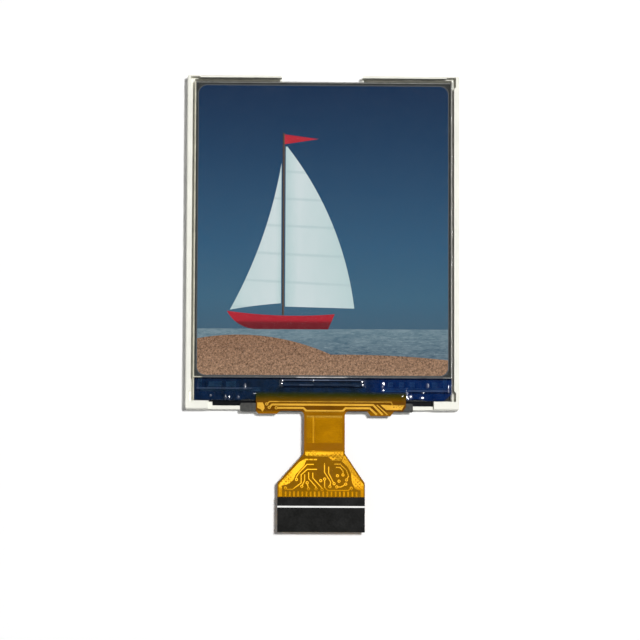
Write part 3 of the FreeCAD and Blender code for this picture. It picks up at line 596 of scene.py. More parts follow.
@dataclass(frozen=True)
class PanelGlass(Finish):
    """A clear glass with ground margins whose colour holds painted highlights: a cream strip at the left edge
    and a pale stretch in the middle of the lower margin.
    """

    low_margin: float
    tint: Colour = (128, 132, 132)
    # The margins' colour across the glass: grey ground glass, with a painted highlight in the cream strip at
    # the left end and in the pale stretch in the middle.
    margins: Stops = ((0.0, (232, 228, 206)), (0.03, (232, 228, 206)), (0.04, (112, 113, 114)),
                      (0.395, (112, 113, 114)), (0.41, (238, 234, 230)), (0.58, (238, 234, 230)),
                      (0.60, (112, 113, 114)), (0.96, (112, 113, 114)), (0.97, (160, 160, 154)),
                      (1.0, (160, 160, 154)))
    half: float = 15.65
    bare: float = 15.42
    cover: float = 0.010
    edge_cover: float = 0.40
    margin_cover: float = 0.90

    def paint(self, recipe: Recipe) -> None:
        """Add the finish's own nodes.

        Args:
            recipe: The material that they go into.
        """
        sides = recipe.join("MAXIMUM", recipe.span(Axis.ACROSS, -self.bare, -self.bare - 0.05),
                            recipe.span(Axis.ACROSS, self.bare, self.bare + 0.05))
        margin = recipe.join("MAXIMUM", sides,
                             recipe.span(Axis.ALONG, self.low_margin, self.low_margin - 0.03))
        ground_and_highlights = recipe.ramp(recipe.span(Axis.ACROSS, -self.half, self.half), self.margins)
        colour, mask = recipe.veiled(recipe.blend(margin, self.tint, ground_and_highlights), 900.0, 214)
        recipe.feed(colour, "Base Color")
        recipe.grained(2500.0, 0.03, 0.08)
        recipe.clear(mask, self.cover, self.edge_cover, recipe.join("MULTIPLY", margin, self.margin_cover))


@dataclass(frozen=True)
class LitField(Finish):
    """A field of the lit picture: light that changes along the picture, under a smooth gloss."""

    stops: Stops
    low: float
    high: float
    axis: Axis = Axis.ALONG
    speckle: float = 0.0
    fleck: Colour = (0, 0, 0)
    fleck_share: float = 0.0
    stretch: Place = (1.0, 1.0, 1.0)

    def paint(self, recipe: Recipe) -> None:
        """Add the finish's own nodes.

        Args:
            recipe: The material that they go into.
        """
        colour = recipe.ramp(recipe.span(self.axis, self.low, self.high), self.stops)
        if self.speckle:
            group = recipe.add("Group", node_tree=recipe.effects.speckle)
            spots = recipe.fed(group, recipe.stretched(self.stretch), Size=self.speckle)
            share = recipe.level(spots.outputs["Mask"], 0.0, self.fleck_share)
            colour = recipe.blend(share, colour, self.fleck)
        recipe.lit(colour)


@dataclass(frozen=True)
class SailCloth(Finish):
    """The picture's sails: pale light, with a shaded side and faint seams."""

    name: str = "lit_sails"
    bright: Colour = (214, 224, 226)
    shade: Colour = (176, 204, 204)
    seam: Colour = (150, 180, 184)
    left: float = -11.2
    right: float = 3.8

    def paint(self, recipe: Recipe) -> None:
        """Add the finish's own nodes.

        Args:
            recipe: The material that they go into.
        """
        side = recipe.ramp(recipe.span(Axis.ACROSS, self.left, self.right),
                           ((0.0, self.shade), (0.36, self.bright), (0.43, self.shade), (0.55, self.bright),
                            (1.0, self.shade)))
        waves = recipe.fed(recipe.add("TexWave", bands_direction="Y"), recipe.stretched((0.3, 1.0, 1.0), 8.0),
                           Scale=95.0, Distortion=0.6, Detail=1.0)
        seams = recipe.level(waves.outputs["Fac"], 0.0, 0.45, 0.96, 1.0)
        folds, _ = recipe.mottled(260.0, self.shade, self.bright, recipe.stretched((1.0, 0.25, 1.0)))
        recipe.lit(recipe.blend(0.35, recipe.blend(seams, side, self.seam), folds))


@dataclass(frozen=True)
class Border(Finish):
    """The dark border of the picture, with a thin pale line round the lit area."""

    name: str = "picture_border"
    dark: Colour = (47, 49, 48)
    paler: Colour = (62, 64, 62)
    line: Colour = (84, 88, 92)
    centre: tuple[float, float] = (0.0, 1.46)
    half: tuple[float, float] = (15.12, 17.64)
    corner: float = 1.0
    reach: float = 0.25

    def paint(self, recipe: Recipe) -> None:
        """Add the finish's own nodes.

        Args:
            recipe: The material that they go into.
        """
        squares = []
        for axis, middle, half in zip((Axis.ACROSS, Axis.ALONG), self.centre, self.half):
            offset = recipe.join("SUBTRACT", recipe.along(axis), middle * MM)
            beyond = recipe.join("SUBTRACT", recipe.join("ABSOLUTE", offset, 0.0), (half - self.corner) * MM)
            beyond = recipe.join("MAXIMUM", beyond, 0.0)
            squares.append(recipe.join("MULTIPLY", beyond, beyond))
        distance = recipe.join("SQRT", recipe.join("ADD", squares[0], squares[1]), 0.0)
        away = recipe.level(distance, 0.0, 1.0, self.corner * MM, (self.corner + self.reach) * MM)
        near = recipe.ramp(away, ((0.0, grey(255)), (0.40, grey(255)), (0.60, grey(0)), (1.0, grey(0))))
        patches, _ = recipe.mottled(500.0, self.dark, self.paler)
        recipe.feed(recipe.blend(near, patches, self.line), "Base Color")
        recipe.grained(2500.0, 0.05, 0.08)
        recipe.keep(Specular_IOR_Level=0.06)


@dataclass(frozen=True)
class Resin(Finish):
    """The blue cured coating: dense on the glass, thinning out over the circuit, and glossy.

    Its shine, its pale lines, which are painted highlights, and its dark lines, which are painted shade, come
    from the values that the coating's points carry.
    """

    name: str = "blue_coating"
    left: Colour = (2, 20, 44)
    middle: Colour = (15, 28, 40)
    right: Colour = (0, 27, 76)
    painted_shade_colour: Colour = (2, 5, 24)
    # The colour of the painted shade lines.
    light: Colour = (22, 56, 104)
    olive: Colour = (32, 52, 16)
    # The colour of the painted highlight lines.
    paler: Colour = (116, 126, 148)
    half: float = 15.6
    top: float = -16.53
    end: float = -19.25
    floor: float = 1.28
    bar: tuple[float, float] = (-8.0, 10.05)
    cover: Colour = (236, 236, 236)
    # Names of the values on the coating's points: its gloss, its painted highlight lines and its painted
    # shade lines.
    gloss: str = "gloss"
    pale: str = "pale"
    painted_shade: str = "painted_shade"

    def paint(self, recipe: Recipe) -> None:
        """Add the finish's own nodes.

        Args:
            recipe: The material that they go into.
        """
        across = recipe.ramp(recipe.span(Axis.ACROSS, -self.half, self.half),
                             ((0.0, self.left), (0.33, self.middle), (0.64, self.middle), (0.72, self.right),
                              (1.0, self.right)))
        patches, _ = recipe.mottled(1300.0, (0, 0, 0), self.light, recipe.stretched((1.0, 0.7, 1.0)))
        colour = recipe.blend(0.34, across, patches, "ADD")
        left, right = self.bar
        over_bar = recipe.between(Axis.ACROSS, (left - 0.15, left + 0.05), (right + 0.15, right - 0.05))
        fading = recipe.ramp(recipe.span(Axis.ALONG, self.end, self.top - 1.5),
                             ((0.0, grey(30)), (0.25, grey(110)), (0.55, grey(188)), (0.85, grey(228)),
                              (1.0, self.cover)))
        cover = recipe.blend(over_bar, self.cover, fading)
        turning = recipe.span(Axis.ALONG, self.top - 1.60, self.top - 2.00)
        colour = recipe.blend(recipe.join("MULTIPLY", turning, over_bar), colour, self.olive)
        # Painted shade: dark lines under the upper glass's edge, along the chip's edges and ends, and across
        # the lower coating.
        colour = recipe.blend(recipe.painted(self.painted_shade), colour, self.painted_shade_colour)
        # Painted highlight: pale lines along the chip's edges, the coating's ridges and its left end.
        colour = recipe.blend(recipe.painted(self.pale), colour, self.paler)
        body = recipe.join("MULTIPLY", cover, recipe.span(Axis.UP, self.floor + 0.002, self.floor + 0.03))
        recipe.feed(colour, "Base Color")
        recipe.feed(body, "Alpha")
        recipe.feed(recipe.painted(self.gloss), "Coat Weight")
        recipe.grained(1400.0, 0.05, 0.14, 0.006)
        recipe.keep(Specular_IOR_Level=0.04, Coat_Roughness=0.14)


@dataclass(frozen=True)
class CopperPattern(Finish):
    """The circuit's copper: bright in the flare and the cross bar, duller down the neck.

    A pale stripe, a painted highlight on a crease, runs down the neck, and the pours at the flare's upper
    edge have a slanting hatch.
    """

    name: str = "circuit_copper"
    bright_left: Colour = (252, 194, 40)
    bright_right: Colour = (232, 168, 34)
    bar: Colour = (194, 148, 48)
    dull: Colour = (182, 124, 0)
    # The colour of the painted highlight on the crease down the neck.
    crease_highlight: Colour = (222, 160, 24)
    hatch_pitch: float = 0.38
    flare_top: tuple[float, float] = (-25.60, -25.75)
    stops: Stops = ((0.0, (60, 60, 60)), (0.09, (60, 60, 60)), (0.13, (255, 255, 255)),
                    (0.455, (255, 255, 255)), (0.475, (0, 0, 0)), (0.80, (0, 0, 0)), (0.82, (255, 255, 255)),
                    (1.0, (255, 255, 255)))
    low: float = -31.0
    high: float = -19.0

    def paint(self, recipe: Recipe) -> None:
        """Add the finish's own nodes.

        Args:
            recipe: The material that they go into.
        """
        side = recipe.ramp(recipe.span(Axis.ACROSS, -5.0, 5.0),
                           ((0.0, self.bright_left), (1.0, self.bright_right)))
        side = recipe.blend(recipe.span(Axis.ALONG, -22.0, -21.5), side, self.bar)
        bright = recipe.ramp(recipe.span(Axis.ALONG, self.low, self.high), self.stops)
        # Painted highlight: a pale stripe along the crease down the neck.
        crease_highlight = recipe.between(Axis.ACROSS, (-1.22, -1.12), (-0.88, -0.96))
        colour = recipe.blend(bright, recipe.blend(crease_highlight, self.dull, self.crease_highlight), side)
        hatch = recipe.fed(recipe.add("TexVoronoi"), recipe.stretched((1.0, 1.0, 0.0), 45.0),
                           Scale=1.0 / (self.hatch_pitch * MM), Randomness=0.0)
        dots = recipe.level(hatch.outputs["Distance"], 0.90, 0.0, 0.16, 0.36)
        band = recipe.between(Axis.ALONG, (-26.50, -26.35), self.flare_top)
        flanks = recipe.join("MAXIMUM", recipe.span(Axis.ACROSS, -3.4, -3.7),
                             recipe.span(Axis.ACROSS, 3.6, 3.9))
        flanks = recipe.join("MULTIPLY", flanks, recipe.span(Axis.ALONG, *self.flare_top))
        dots = recipe.join("MULTIPLY", dots, recipe.join("MAXIMUM", band, flanks))
        recipe.feed(recipe.veiled(recipe.blend(dots, colour, self.dull), 1200.0, 225)[0], "Base Color")
        recipe.grained(5000.0, 0.34, 0.50, 0.003)
        recipe.keep(Metallic=0.30, Specular_IOR_Level=0.02)


def pick(piece: Object | None) -> None:
    """Leave edit mode and make one object the only selected and active one.

    Args:
        piece: The object, or None to leave all objects deselected.
    """
    if bpy.context.mode != "OBJECT":
        bpy.ops.object.mode_set(mode="OBJECT")
    bpy.ops.object.select_all(action="DESELECT")
    bpy.context.view_layer.objects.active = piece
    if piece is not None:
        piece.select_set(True)


def rest_at_origin(piece: Object) -> None:
    """Put the piece's place, turn and scale into its mesh."""
    pick(piece)
    bpy.ops.object.transform_apply(location=True, rotation=True, scale=True)


def dress(piece: Object, material: Material) -> None:
    """Give an object one material."""
    piece.data.materials.clear()
    piece.data.materials.append(material)


def softened(node: str, name: str, width: float, lift: float = 0.0) -> Object:
    """Copy a node's merged mesh and round its edges.

    Args:
        node: The node that is copied.
        name: The new piece's name.
        width: The rounding's width, in millimetres.
        lift: How far its back face stands clear of what it lies on, in millimetres.

    Returns:
        The new piece.
    """
    piece = bpy.data.objects.new(name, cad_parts[node].data.copy())
    bpy.context.scene.collection.objects.link(piece)
    pick(piece)
    bpy.ops.object.mode_set(mode="EDIT")
    bpy.ops.mesh.select_all(action="SELECT")
    bpy.ops.mesh.remove_doubles(threshold=0.0005 * MM)
    bpy.ops.mesh.dissolve_limited(angle_limit=math.radians(0.5))
    bpy.ops.object.mode_set(mode="OBJECT")
    base = min(vertex.co.z for vertex in piece.data.vertices)
    for vertex in piece.data.vertices:
        vertex.co.z = max(vertex.co.z, base + lift * MM)
    edge = piece.modifiers.new("edge", "BEVEL")
    edge.width = width * MM
    edge.segments = 2
    edge.limit_method = "ANGLE"
    edge.angle_limit = math.radians(35)
    bpy.ops.object.modifier_apply(modifier=edge.name)
    bpy.ops.object.shade_smooth_by_angle(angle=math.radians(35))
    flats = piece.modifiers.new("flats", "WEIGHTED_NORMAL")
    flats.keep_sharp = True
    flats.weight = 100
    bpy.ops.object.modifier_apply(modifier=flats.name)
    return piece


@dataclass
class SubAssembly:
    """Pieces that belong together, with what dresses and reports them."""

    effects: Effects

    def dress_nodes(self, finishes: dict[str, Finish]) -> None:
        """Give CAD nodes their finishes.

        Args:
            finishes: The finish of each node, by the start of its name.
        """
        made = {}
        for start, finish in finishes.items():
            if finish not in made:
                made[finish] = finish.make(self.effects)
            for node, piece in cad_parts.items():
                if node.startswith(start):
                    dress(piece, made[finish])
                    LOG.info("dressed %s", node)

    def settle(self, piece: Object, finish: Finish, slot: str, node: str) -> None:
        """Dress a new piece, let it ride on the module and hide the node that it stands for.

        Args:
            piece: The finished piece.
            finish: Its finish.
            slot: Not used.
            node: The node that it replaces.
        """
        material = finish.make(self.effects)
        dress(piece, material)
        dress(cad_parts[node], material)
        rest_at_origin(piece)
        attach(piece, "root")
        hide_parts(node)
        LOG.info("built %s with %d faces", piece.name, len(piece.data.polygons))


@dataclass
class Backlight(SubAssembly):
    """The white moulded frame, and the sheets, guide and lamps inside it."""

    edge: float = 0.03

    def build(self) -> None:
        """Make the moulding and dress what it holds."""
        white = Solid("white_moulding", (238, 237, 226), (249, 248, 237), 420.0, 7000.0, 0.42, 0.58, 0.006,
                      0.20)
        self.settle(softened("backlight_frame", "frame_moulding", self.edge), white, "frame_white",
                    "backlight_frame")
        self.dress_nodes({
            "reflector_sheet": Solid("reflector_sheet", (222, 225, 228), (240, 242, 244), 300.0, 9000.0,
                                     0.22, 0.34, 0.002),
            "light_guide": ClearSheet("light_guide", (226, 238, 242), 0.45),
            "diffuser_film": Solid("diffuser_film", (232, 235, 238), (246, 247, 248)),
            "prism_film": Solid("prism_film", (190, 200, 208), (218, 226, 230), 900.0, 9000.0, 0.18, 0.30),
            # Painted light: the black rim tape is painted a pale grey-brown in the gap above the upper glass,
            # where light falls into the gap.
            "rim_tape": Banded("rim_tape", ((0.0, (20, 20, 22)), (1.0, (112, 110, 98))), 19.44, 19.59,
                               patch=800.0, veil=206, grain=6000.0, smooth=0.40, rough=0.55, shine=0.08),
            "light_strip_circuit": Solid("strip_cover_film", (4, 6, 9), (16, 18, 22), 1500.0, 6000.0,
                                         0.30, 0.45, shine=0.02),
            "light_strip_tape": ClearSheet("strip_tape", (214, 216, 204), 0.6, 0.2, 0.3),
            "light_housing": Solid("lamp_cup", (232, 232, 226), (248, 248, 244), 800.0),
            "light_window": Solid("lamp_window", (222, 186, 40), (244, 214, 78), 1500.0, 9000.0, 0.15, 0.25),
            "light_solder": plating("lamp_solder", (160, 162, 166), (206, 208, 210)),
            "tab_solder": plating("tab_solder", (160, 162, 166), (206, 208, 210)),
        })


@dataclass
class GlassPanel(SubAssembly):
    """The two glasses, their seal and border, and the polarizers."""

    edge: float = 0.02
    lift: float = 0.003

    def build(self) -> None:
        """Make the sheets with eased edges and dress the layers between them."""
        for node, name, finish, slot in (
                ("array_glass", "lower_glass", PanelGlass("lower_panel_glass", -19.22), "glass"),
                ("colour_filter_glass", "upper_glass", PanelGlass("upper_panel_glass", -16.37), "glass"),
                ("front_polarizer", "front_film", ClearSheet("front_film", (84, 86, 86), 0.010, 0.60),
                 "polarizer")):
            self.settle(softened(node, name, self.edge, self.lift), finish, slot, node)
        self.dress_nodes({
            "rear_polarizer": Solid("rear_film", (38, 40, 44), (52, 54, 58), 300.0, 6000.0, 0.15, 0.25,
                                    shine=0.1),
            "cell_seal": Solid("sealant", (120, 120, 114), (160, 160, 152), 1800.0, 9000.0, 0.35, 0.5),
            "liquid_crystal": Solid("liquid_crystal", (52, 58, 66), (68, 74, 82), shine=0.1),
            "black_matrix": Border(),
        })


@dataclass
class Picture(SubAssembly):
    """The lit picture: a boat under sail off a speckled shore."""

    sky: Stops = ((0.0, (66, 95, 115)), (0.16, (60, 100, 125)), (0.36, (48, 89, 120)),
                  (0.56, (38, 75, 107)), (0.75, (25, 60, 93)), (1.0, (10, 40, 74)))
    water: Stops = ((0.0, (52, 80, 100)), (1.0, (88, 116, 130)))
    shore: Stops = ((0.0, (202, 162, 130)), (1.0, (180, 138, 108)))
    hull: Stops = ((0.0, (96, 20, 30)), (0.035, (110, 24, 34)), (0.05, (176, 36, 50)), (1.0, (190, 44, 58)))
    mast: Stops = ((0.0, (60, 48, 42)), (1.0, (96, 82, 72)))

    def build(self) -> None:
        """Dress the picture's fields."""
        self.dress_nodes({
            "picture_sky": LitField("lit_sky", self.sky, -11.8, 19.1, speckle=900.0, fleck=(60, 84, 108),
                                    fleck_share=0.10),
            "picture_water": LitField("lit_water", self.water, -14.0, -10.6, speckle=420.0,
                                      fleck=(150, 170, 176), fleck_share=0.5, stretch=(1.0, 5.0, 1.0)),
            "picture_shore": LitField("lit_shore", self.shore, -16.2, -11.5, speckle=4800.0,
                                      fleck=(44, 24, 14), fleck_share=1.0),
            "picture_sails": SailCloth(),
            "picture_hull": LitField("lit_hull", self.hull, -10.7, 13.2, speckle=500.0, fleck=(130, 26, 38),
                                     fleck_share=0.3),
            "picture_mast": LitField("lit_mast", self.mast, -4.92, -4.68, Axis.ACROSS),
        })


@dataclass(frozen=True)
class Ripple:
    """A soft unevenness of the coating: how often it changes each way, its layer in the noise, its height."""

    across: float
    along: float
    layer: float
    height: float

    def rise(self, x: float, y: float) -> float:
        """Give its height over a place, in millimetres."""
        return noise.noise(Vector((x * self.across, y * self.along, self.layer))) * self.height


@dataclass(frozen=True)
class Bead:
    """A glint that the coating shows, with the reach of the blister that makes it, in millimetres.

    Its steepness compares the blister with one whose steepest flank just mirrors the key lamp.
    """

    glint_x: float
    glint_y: float
    reach_x: float
    reach_y: float
    steepness: float


@dataclass(frozen=True)
class Blister:
    """A round swelling of the coating's skin: its middle, its reach each way and its height."""

    x: float
    y: float
    reach_x: float
    reach_y: float
    height: float

    def share(self, x: float, y: float) -> float:
        """Give how much of its height it has over a place, from 0 to 1."""
        away = ((x - self.x) / self.reach_x) ** 2 + ((y - self.y) / self.reach_y) ** 2
        return math.exp(-away / 2) if away < 16 else 0.0


@dataclass(frozen=True)
class Line:
    """A line that runs across the coating: its ends, place, half width and strength."""

    left: float
    right: float
    y: float
    half: float
    strength: float

    def share(self, x: float, y: float) -> float:
        """Give how much of the line shows at a place, from 0 to its strength."""
        ends = ease((min(x - self.left, self.right - x) + 0.06) / 0.12)
        return self.strength * ends * math.exp(-((y - self.y) / self.half) ** 2)


@dataclass
class DriverLedge(SubAssembly):
    """The ledge of the lower glass: its tracks, the chip, and the blue coating over them.

    All places and heights are millimetres. The coating's film rises in a bank towards the upper glass, in
    a lip where it meets it and over the chip, lies at one height over the circuit's bar, and slumps at its
    ends. Its lower edge draws back from the glass edge: in waves, in dents (each with its place, reach and
    depth) and in the right corner.
    """

    finish: Resin = Resin()
    left: float = -15.44
    right: float = 15.56
    top: float = -16.53
    end: float = -19.25
    base: float = 1.28
    crest: float = 1.655
    thinnest: float = 0.07
    film: float = 1.40
    bank: float = 0.10
    bank_reach: float = 1.1
    lip: float = 0.155
    lip_reach: float = 0.12
    slump: float = 0.10
    slump_reach: float = 0.32
    ripples: tuple[Ripple, ...] = (Ripple(0.8, 1.3, 3.1, 0.020), Ripple(2.2, 2.8, 7.7, 0.009))
    chip: tuple[float, float, float, float] = (-5.00, 4.95, -17.56, -16.78)
    chip_rise: float = 0.14
    chip_slope: float = 0.24
    bar: tuple[float, float] = (-8.0, 10.05)
    bar_slope: float = 0.25
    bar_skin: float = 1.45
    dents: tuple[tuple[float, float, float], ...] = ((-9.0, 1.2, 0.14), (11.3, 1.4, 0.12))
    corner_start: float = 14.5
    corner_reach: float = 1.1
    corner_depth: float = 0.75
    cells_across: int = 480
    cells_along: int = 90
    blisters: tuple[Blister, ...] = ()
    track_stops: Stops = ((0.0, (150, 225, 255)), (0.255, (150, 225, 255)), (0.265, (30, 54, 84)),
                          (0.735, (30, 54, 84)), (0.745, (150, 225, 255)), (1.0, (150, 225, 255)))
    # Painted highlights: pale lines along the chip's edges, the coating's ridges and its left end.
    painted_highlight_lines: tuple[Line, ...] = (
        Line(-4.85, 4.75, -16.80, 0.050, 0.60), Line(-1.5, 0.8, -16.80, 0.050, 0.60),
        Line(-4.70, 4.60, -17.36, 0.050, 0.16), Line(-2.8, -1.1, -17.38, 0.045, 0.40),
        Line(-15.2, -8.4, -17.80, 0.070, 0.26), Line(10.4, 15.3, -18.02, 0.070, 0.30),
        Line(-15.1, -14.9, -17.60, 0.500, 0.14),
    )
    # Painted shade: dark lines under the upper glass's edge, along the chip's edges and ends, and across the
    # lower coating.
    painted_shade_lines: tuple[Line, ...] = (
        Line(-15.5, 15.6, -16.62, 0.085, 1.00), Line(-4.85, 4.75, -16.97, 0.090, 1.00),
        Line(-4.95, 4.85, -17.60, 0.095, 1.00), Line(-15.3, -8.2, -18.05, 0.100, 0.75),
        Line(10.3, 15.4, -18.26, 0.100, 0.85), Line(-5.02, -4.82, -17.20, 0.300, 0.80),
        Line(4.78, 4.98, -17.20, 0.300, 0.80),
    )
    beads: tuple[Bead, ...] = (
        Bead(-4.80, -16.84, 0.12, 0.12, 1.06), Bead(-4.90, -17.22, 0.13, 0.13, 1.25),
        Bead(-4.86, -17.50, 0.09, 0.09, 0.94), Bead(-1.10, -16.82, 0.11, 0.11, 1.04),
        Bead(4.76, -16.98, 0.12, 0.13, 1.06), Bead(4.84, -17.36, 0.12, 0.13, 1.08),
        Bead(7.33, -17.14, 0.15, 0.20, 1.05), Bead(7.24, -17.56, 0.11, 0.11, 1.02),
        Bead(7.33, -17.98, 0.14, 0.14, 1.05), Bead(-8.15, -18.42, 0.12, 0.12, 1.30),
        Bead(10.14, -18.78, 0.26, 0.24, 1.08), Bead(9.66, -18.64, 0.12, 0.12, 1.02),
        Bead(10.18, -19.10, 0.10, 0.10, 1.02), Bead(12.17, -18.25, 0.15, 0.10, 1.04),
        Bead(12.06, -18.84, 0.22, 0.15, 1.02), Bead(15.20, -17.50, 0.11, 0.34, 1.05),
        Bead(-9.32, -17.33, 0.12, 0.30, 0.54), Bead(-11.62, -18.78, 0.12, 0.24, 0.84),
        Bead(-11.20, -18.84, 0.11, 0.22, 0.80), Bead(-10.06, -18.86, 0.13, 0.16, 0.60),
        Bead(-13.40, -18.66, 0.12, 0.12, 0.82), Bead(12.70, -17.22, 0.14, 0.24, 0.58),
    )

    def over_chip(self, x: float, y: float) -> float:
        """Give how much of the chip's height the coating takes on over a place.

        Args:
            x: The place across the module, in millimetres.
            y: The place along it, in millimetres.

        Returns:
            The share, from 0 to 1.
        """
        left, right, low, high = self.chip
        beyond = max(left - x, x - right, low - y, y - high)
        return ease(1 - beyond / self.chip_slope)

    def plain_skin(self, x: float, y: float) -> float:
        """Give the coating's height over a place, without its blisters.

        Args:
            x: The place across the module, in millimetres.
            y: The place along it, in millimetres.

        Returns:
            The height of the skin, in millimetres.
        """
        down = self.top - y
        height = self.film + self.bank * math.exp(-down / self.bank_reach)
        height += self.lip * math.exp(-(down / self.lip_reach) ** 2)
        height += self.chip_rise * self.over_chip(x, y)
        height += sum(ripple.rise(x, y) for ripple in self.ripples)
        over = ease(min(x - self.bar[0], self.bar[1] - x) / self.bar_slope + 1)
        height += max(0.0, self.bar_skin - height) * over
        inside = min(x - self.left, self.right - x, (y - self.end) * 1.6)
        height -= self.slump * (1 - ease(inside / self.slump_reach))
        return min(self.crest, max(self.base + self.thinnest, height))

    def raised(self, bead: Bead) -> Blister:
        """Work out the blister whose flank, on top of the skin's own slope, shows a glint.

        Args:
            bead: The glint and the blister's reach.

        Returns:
            The blister.
        """
        x, y, step = bead.glint_x, bead.glint_y, 0.02
        fall_x = (self.plain_skin(x - step, y) - self.plain_skin(x + step, y)) / (2 * step)
        fall_y = (self.plain_skin(x, y - step) - self.plain_skin(x, y + step)) / (2 * step)
        across = (MIRROR_ACROSS - MIRROR_CHANGE * x - fall_x) * bead.reach_x
        along = (MIRROR_ALONG - fall_y) * bead.reach_y
        rise = math.hypot(across, along)
        return Blister(x - bead.reach_x * across / rise, y - bead.reach_y * along / rise, bead.reach_x,
                       bead.reach_y, bead.steepness * rise / FLANK_SLOPE)

    def skin(self, x: float, y: float) -> float:
        """Give the coating's height over a place, in millimetres, with its blisters."""
        return self.plain_skin(x, y) + sum(blister.height * blister.share(x, y) for blister in self.blisters)

    def gloss(self, x: float, y: float) -> float:
        """Give how glossy the skin is over a place: most on the blisters and at the chip's ends.

        Args:
            x: The place across the module, in millimetres.
            y: The place along it, in millimetres.

        Returns:
            The gloss, from 0 to 1.
        """
        nearest = max(blister.share(x - 0.05, y) for blister in self.blisters)
        over = self.over_chip(x, y) if self.chip[2] < y < self.chip[3] else 0.0
        return max(ease(2.4 * nearest - 0.6), ease(6.4 * over * (1 - over)))

    def pale(self, x: float, y: float) -> float:
        """Give how much of the painted highlight lines shows at a place."""
        return min(1.0, sum(line.share(x, y) for line in self.painted_highlight_lines))

    def painted_shade(self, x: float, y: float) -> float:
        """Give how much of the painted shade lines shows at a place."""
        return max(line.share(x, y) for line in self.painted_shade_lines)

    def drawn_back(self, x: float) -> float:
        """Give how far the coating's lower edge stands back from the glass edge.

        Args:
            x: The place across the module, in millimetres.

        Returns:
            The distance, in millimetres.
        """
        wave = 0.5 + 0.5 * noise.noise(Vector((x * 0.7, 1.7, 0.3)))
        back = 0.01 + 0.16 * wave ** 3
        back += sum(depth * ease(1 - abs(x - place) / reach) for place, reach, depth in self.dents)
        return back + self.corner_depth * ease((x - self.corner_start) / self.corner_reach)

    def make_coating(self) -> Object:
        """Model the coating as one closed body with an uneven skin.

        Returns:
            The coating.
        """
        pick(None)
        middle = ((self.left + self.right) / 2 * MM, (self.top + self.end) / 2 * MM, self.base * MM)
        bpy.ops.mesh.primitive_grid_add(x_subdivisions=self.cells_across, y_subdivisions=self.cells_along,
                                        size=1.0, location=middle)
        piece = bpy.context.object
        piece.name = "coating_resin"
        piece.scale = ((self.right - self.left) * MM, (self.top - self.end) * MM, 1.0)
        rest_at_origin(piece)
        bpy.ops.object.mode_set(mode="EDIT")
        bpy.ops.mesh.select_all(action="SELECT")
        bpy.ops.mesh.extrude_region_move(TRANSFORM_OT_translate={"value": (0.0, 0.0, 0.3 * MM)})
        bpy.ops.object.mode_set(mode="OBJECT")
        for vertex in piece.data.vertices:
            x, y = vertex.co.x / MM, vertex.co.y / MM
            down = (self.top - y) / (self.top - self.end)
            y += self.drawn_back(x) * down ** 3
            vertex.co.y = y * MM
            if vertex.co.z > (self.base + 0.1) * MM:
                vertex.co.z = self.skin(x, y) * MM
        for face in piece.data.polygons:
            face.select = all(piece.data.vertices[corner].co.z < (self.base + 0.01) * MM
                              for corner in face.vertices)
        pick(piece)
        bpy.ops.object.mode_set(mode="EDIT")
        bpy.ops.mesh.dissolve_faces()
        bpy.ops.mesh.select_all(action="SELECT")
        bpy.ops.mesh.normals_make_consistent(inside=False)
        bpy.ops.object.mode_set(mode="OBJECT")
        bpy.ops.object.shade_smooth_by_angle(angle=math.radians(60))
        for name, rule in ((self.finish.gloss, self.gloss), (self.finish.pale, self.pale),
                           (self.finish.painted_shade, self.painted_shade)):
            values = piece.data.attributes.new(name, "FLOAT", "POINT")
            for vertex, value in zip(piece.data.vertices, values.data):
                value.value = rule(vertex.co.x / MM, vertex.co.y / MM)
        return piece

    def build(self) -> None:
        """Make the coating and dress what lies under it."""
        self.blisters = tuple(self.raised(bead) for bead in self.beads)
        self.settle(self.make_coating(), self.finish, "blue_coating", "ledge_coating")
        bond = Solid("bond_film", (130, 122, 90), (156, 148, 110))
        self.dress_nodes({
            "ledge_tracks": Banded("ledge_tracks", self.track_stops, -15.6, 15.6, Axis.ACROSS, patch=1500.0,
                                   grain=6000.0, smooth=0.2, depth=0.002, shine=0.1),
            "driver_chip": Solid("chip_silicon", (30, 46, 66), (44, 64, 88), 600.0, 6000.0, 0.12, 0.2,
                                 shine=0.1),
            "chip_bond_film": bond,
            "circuit_bond_film": bond,
        })


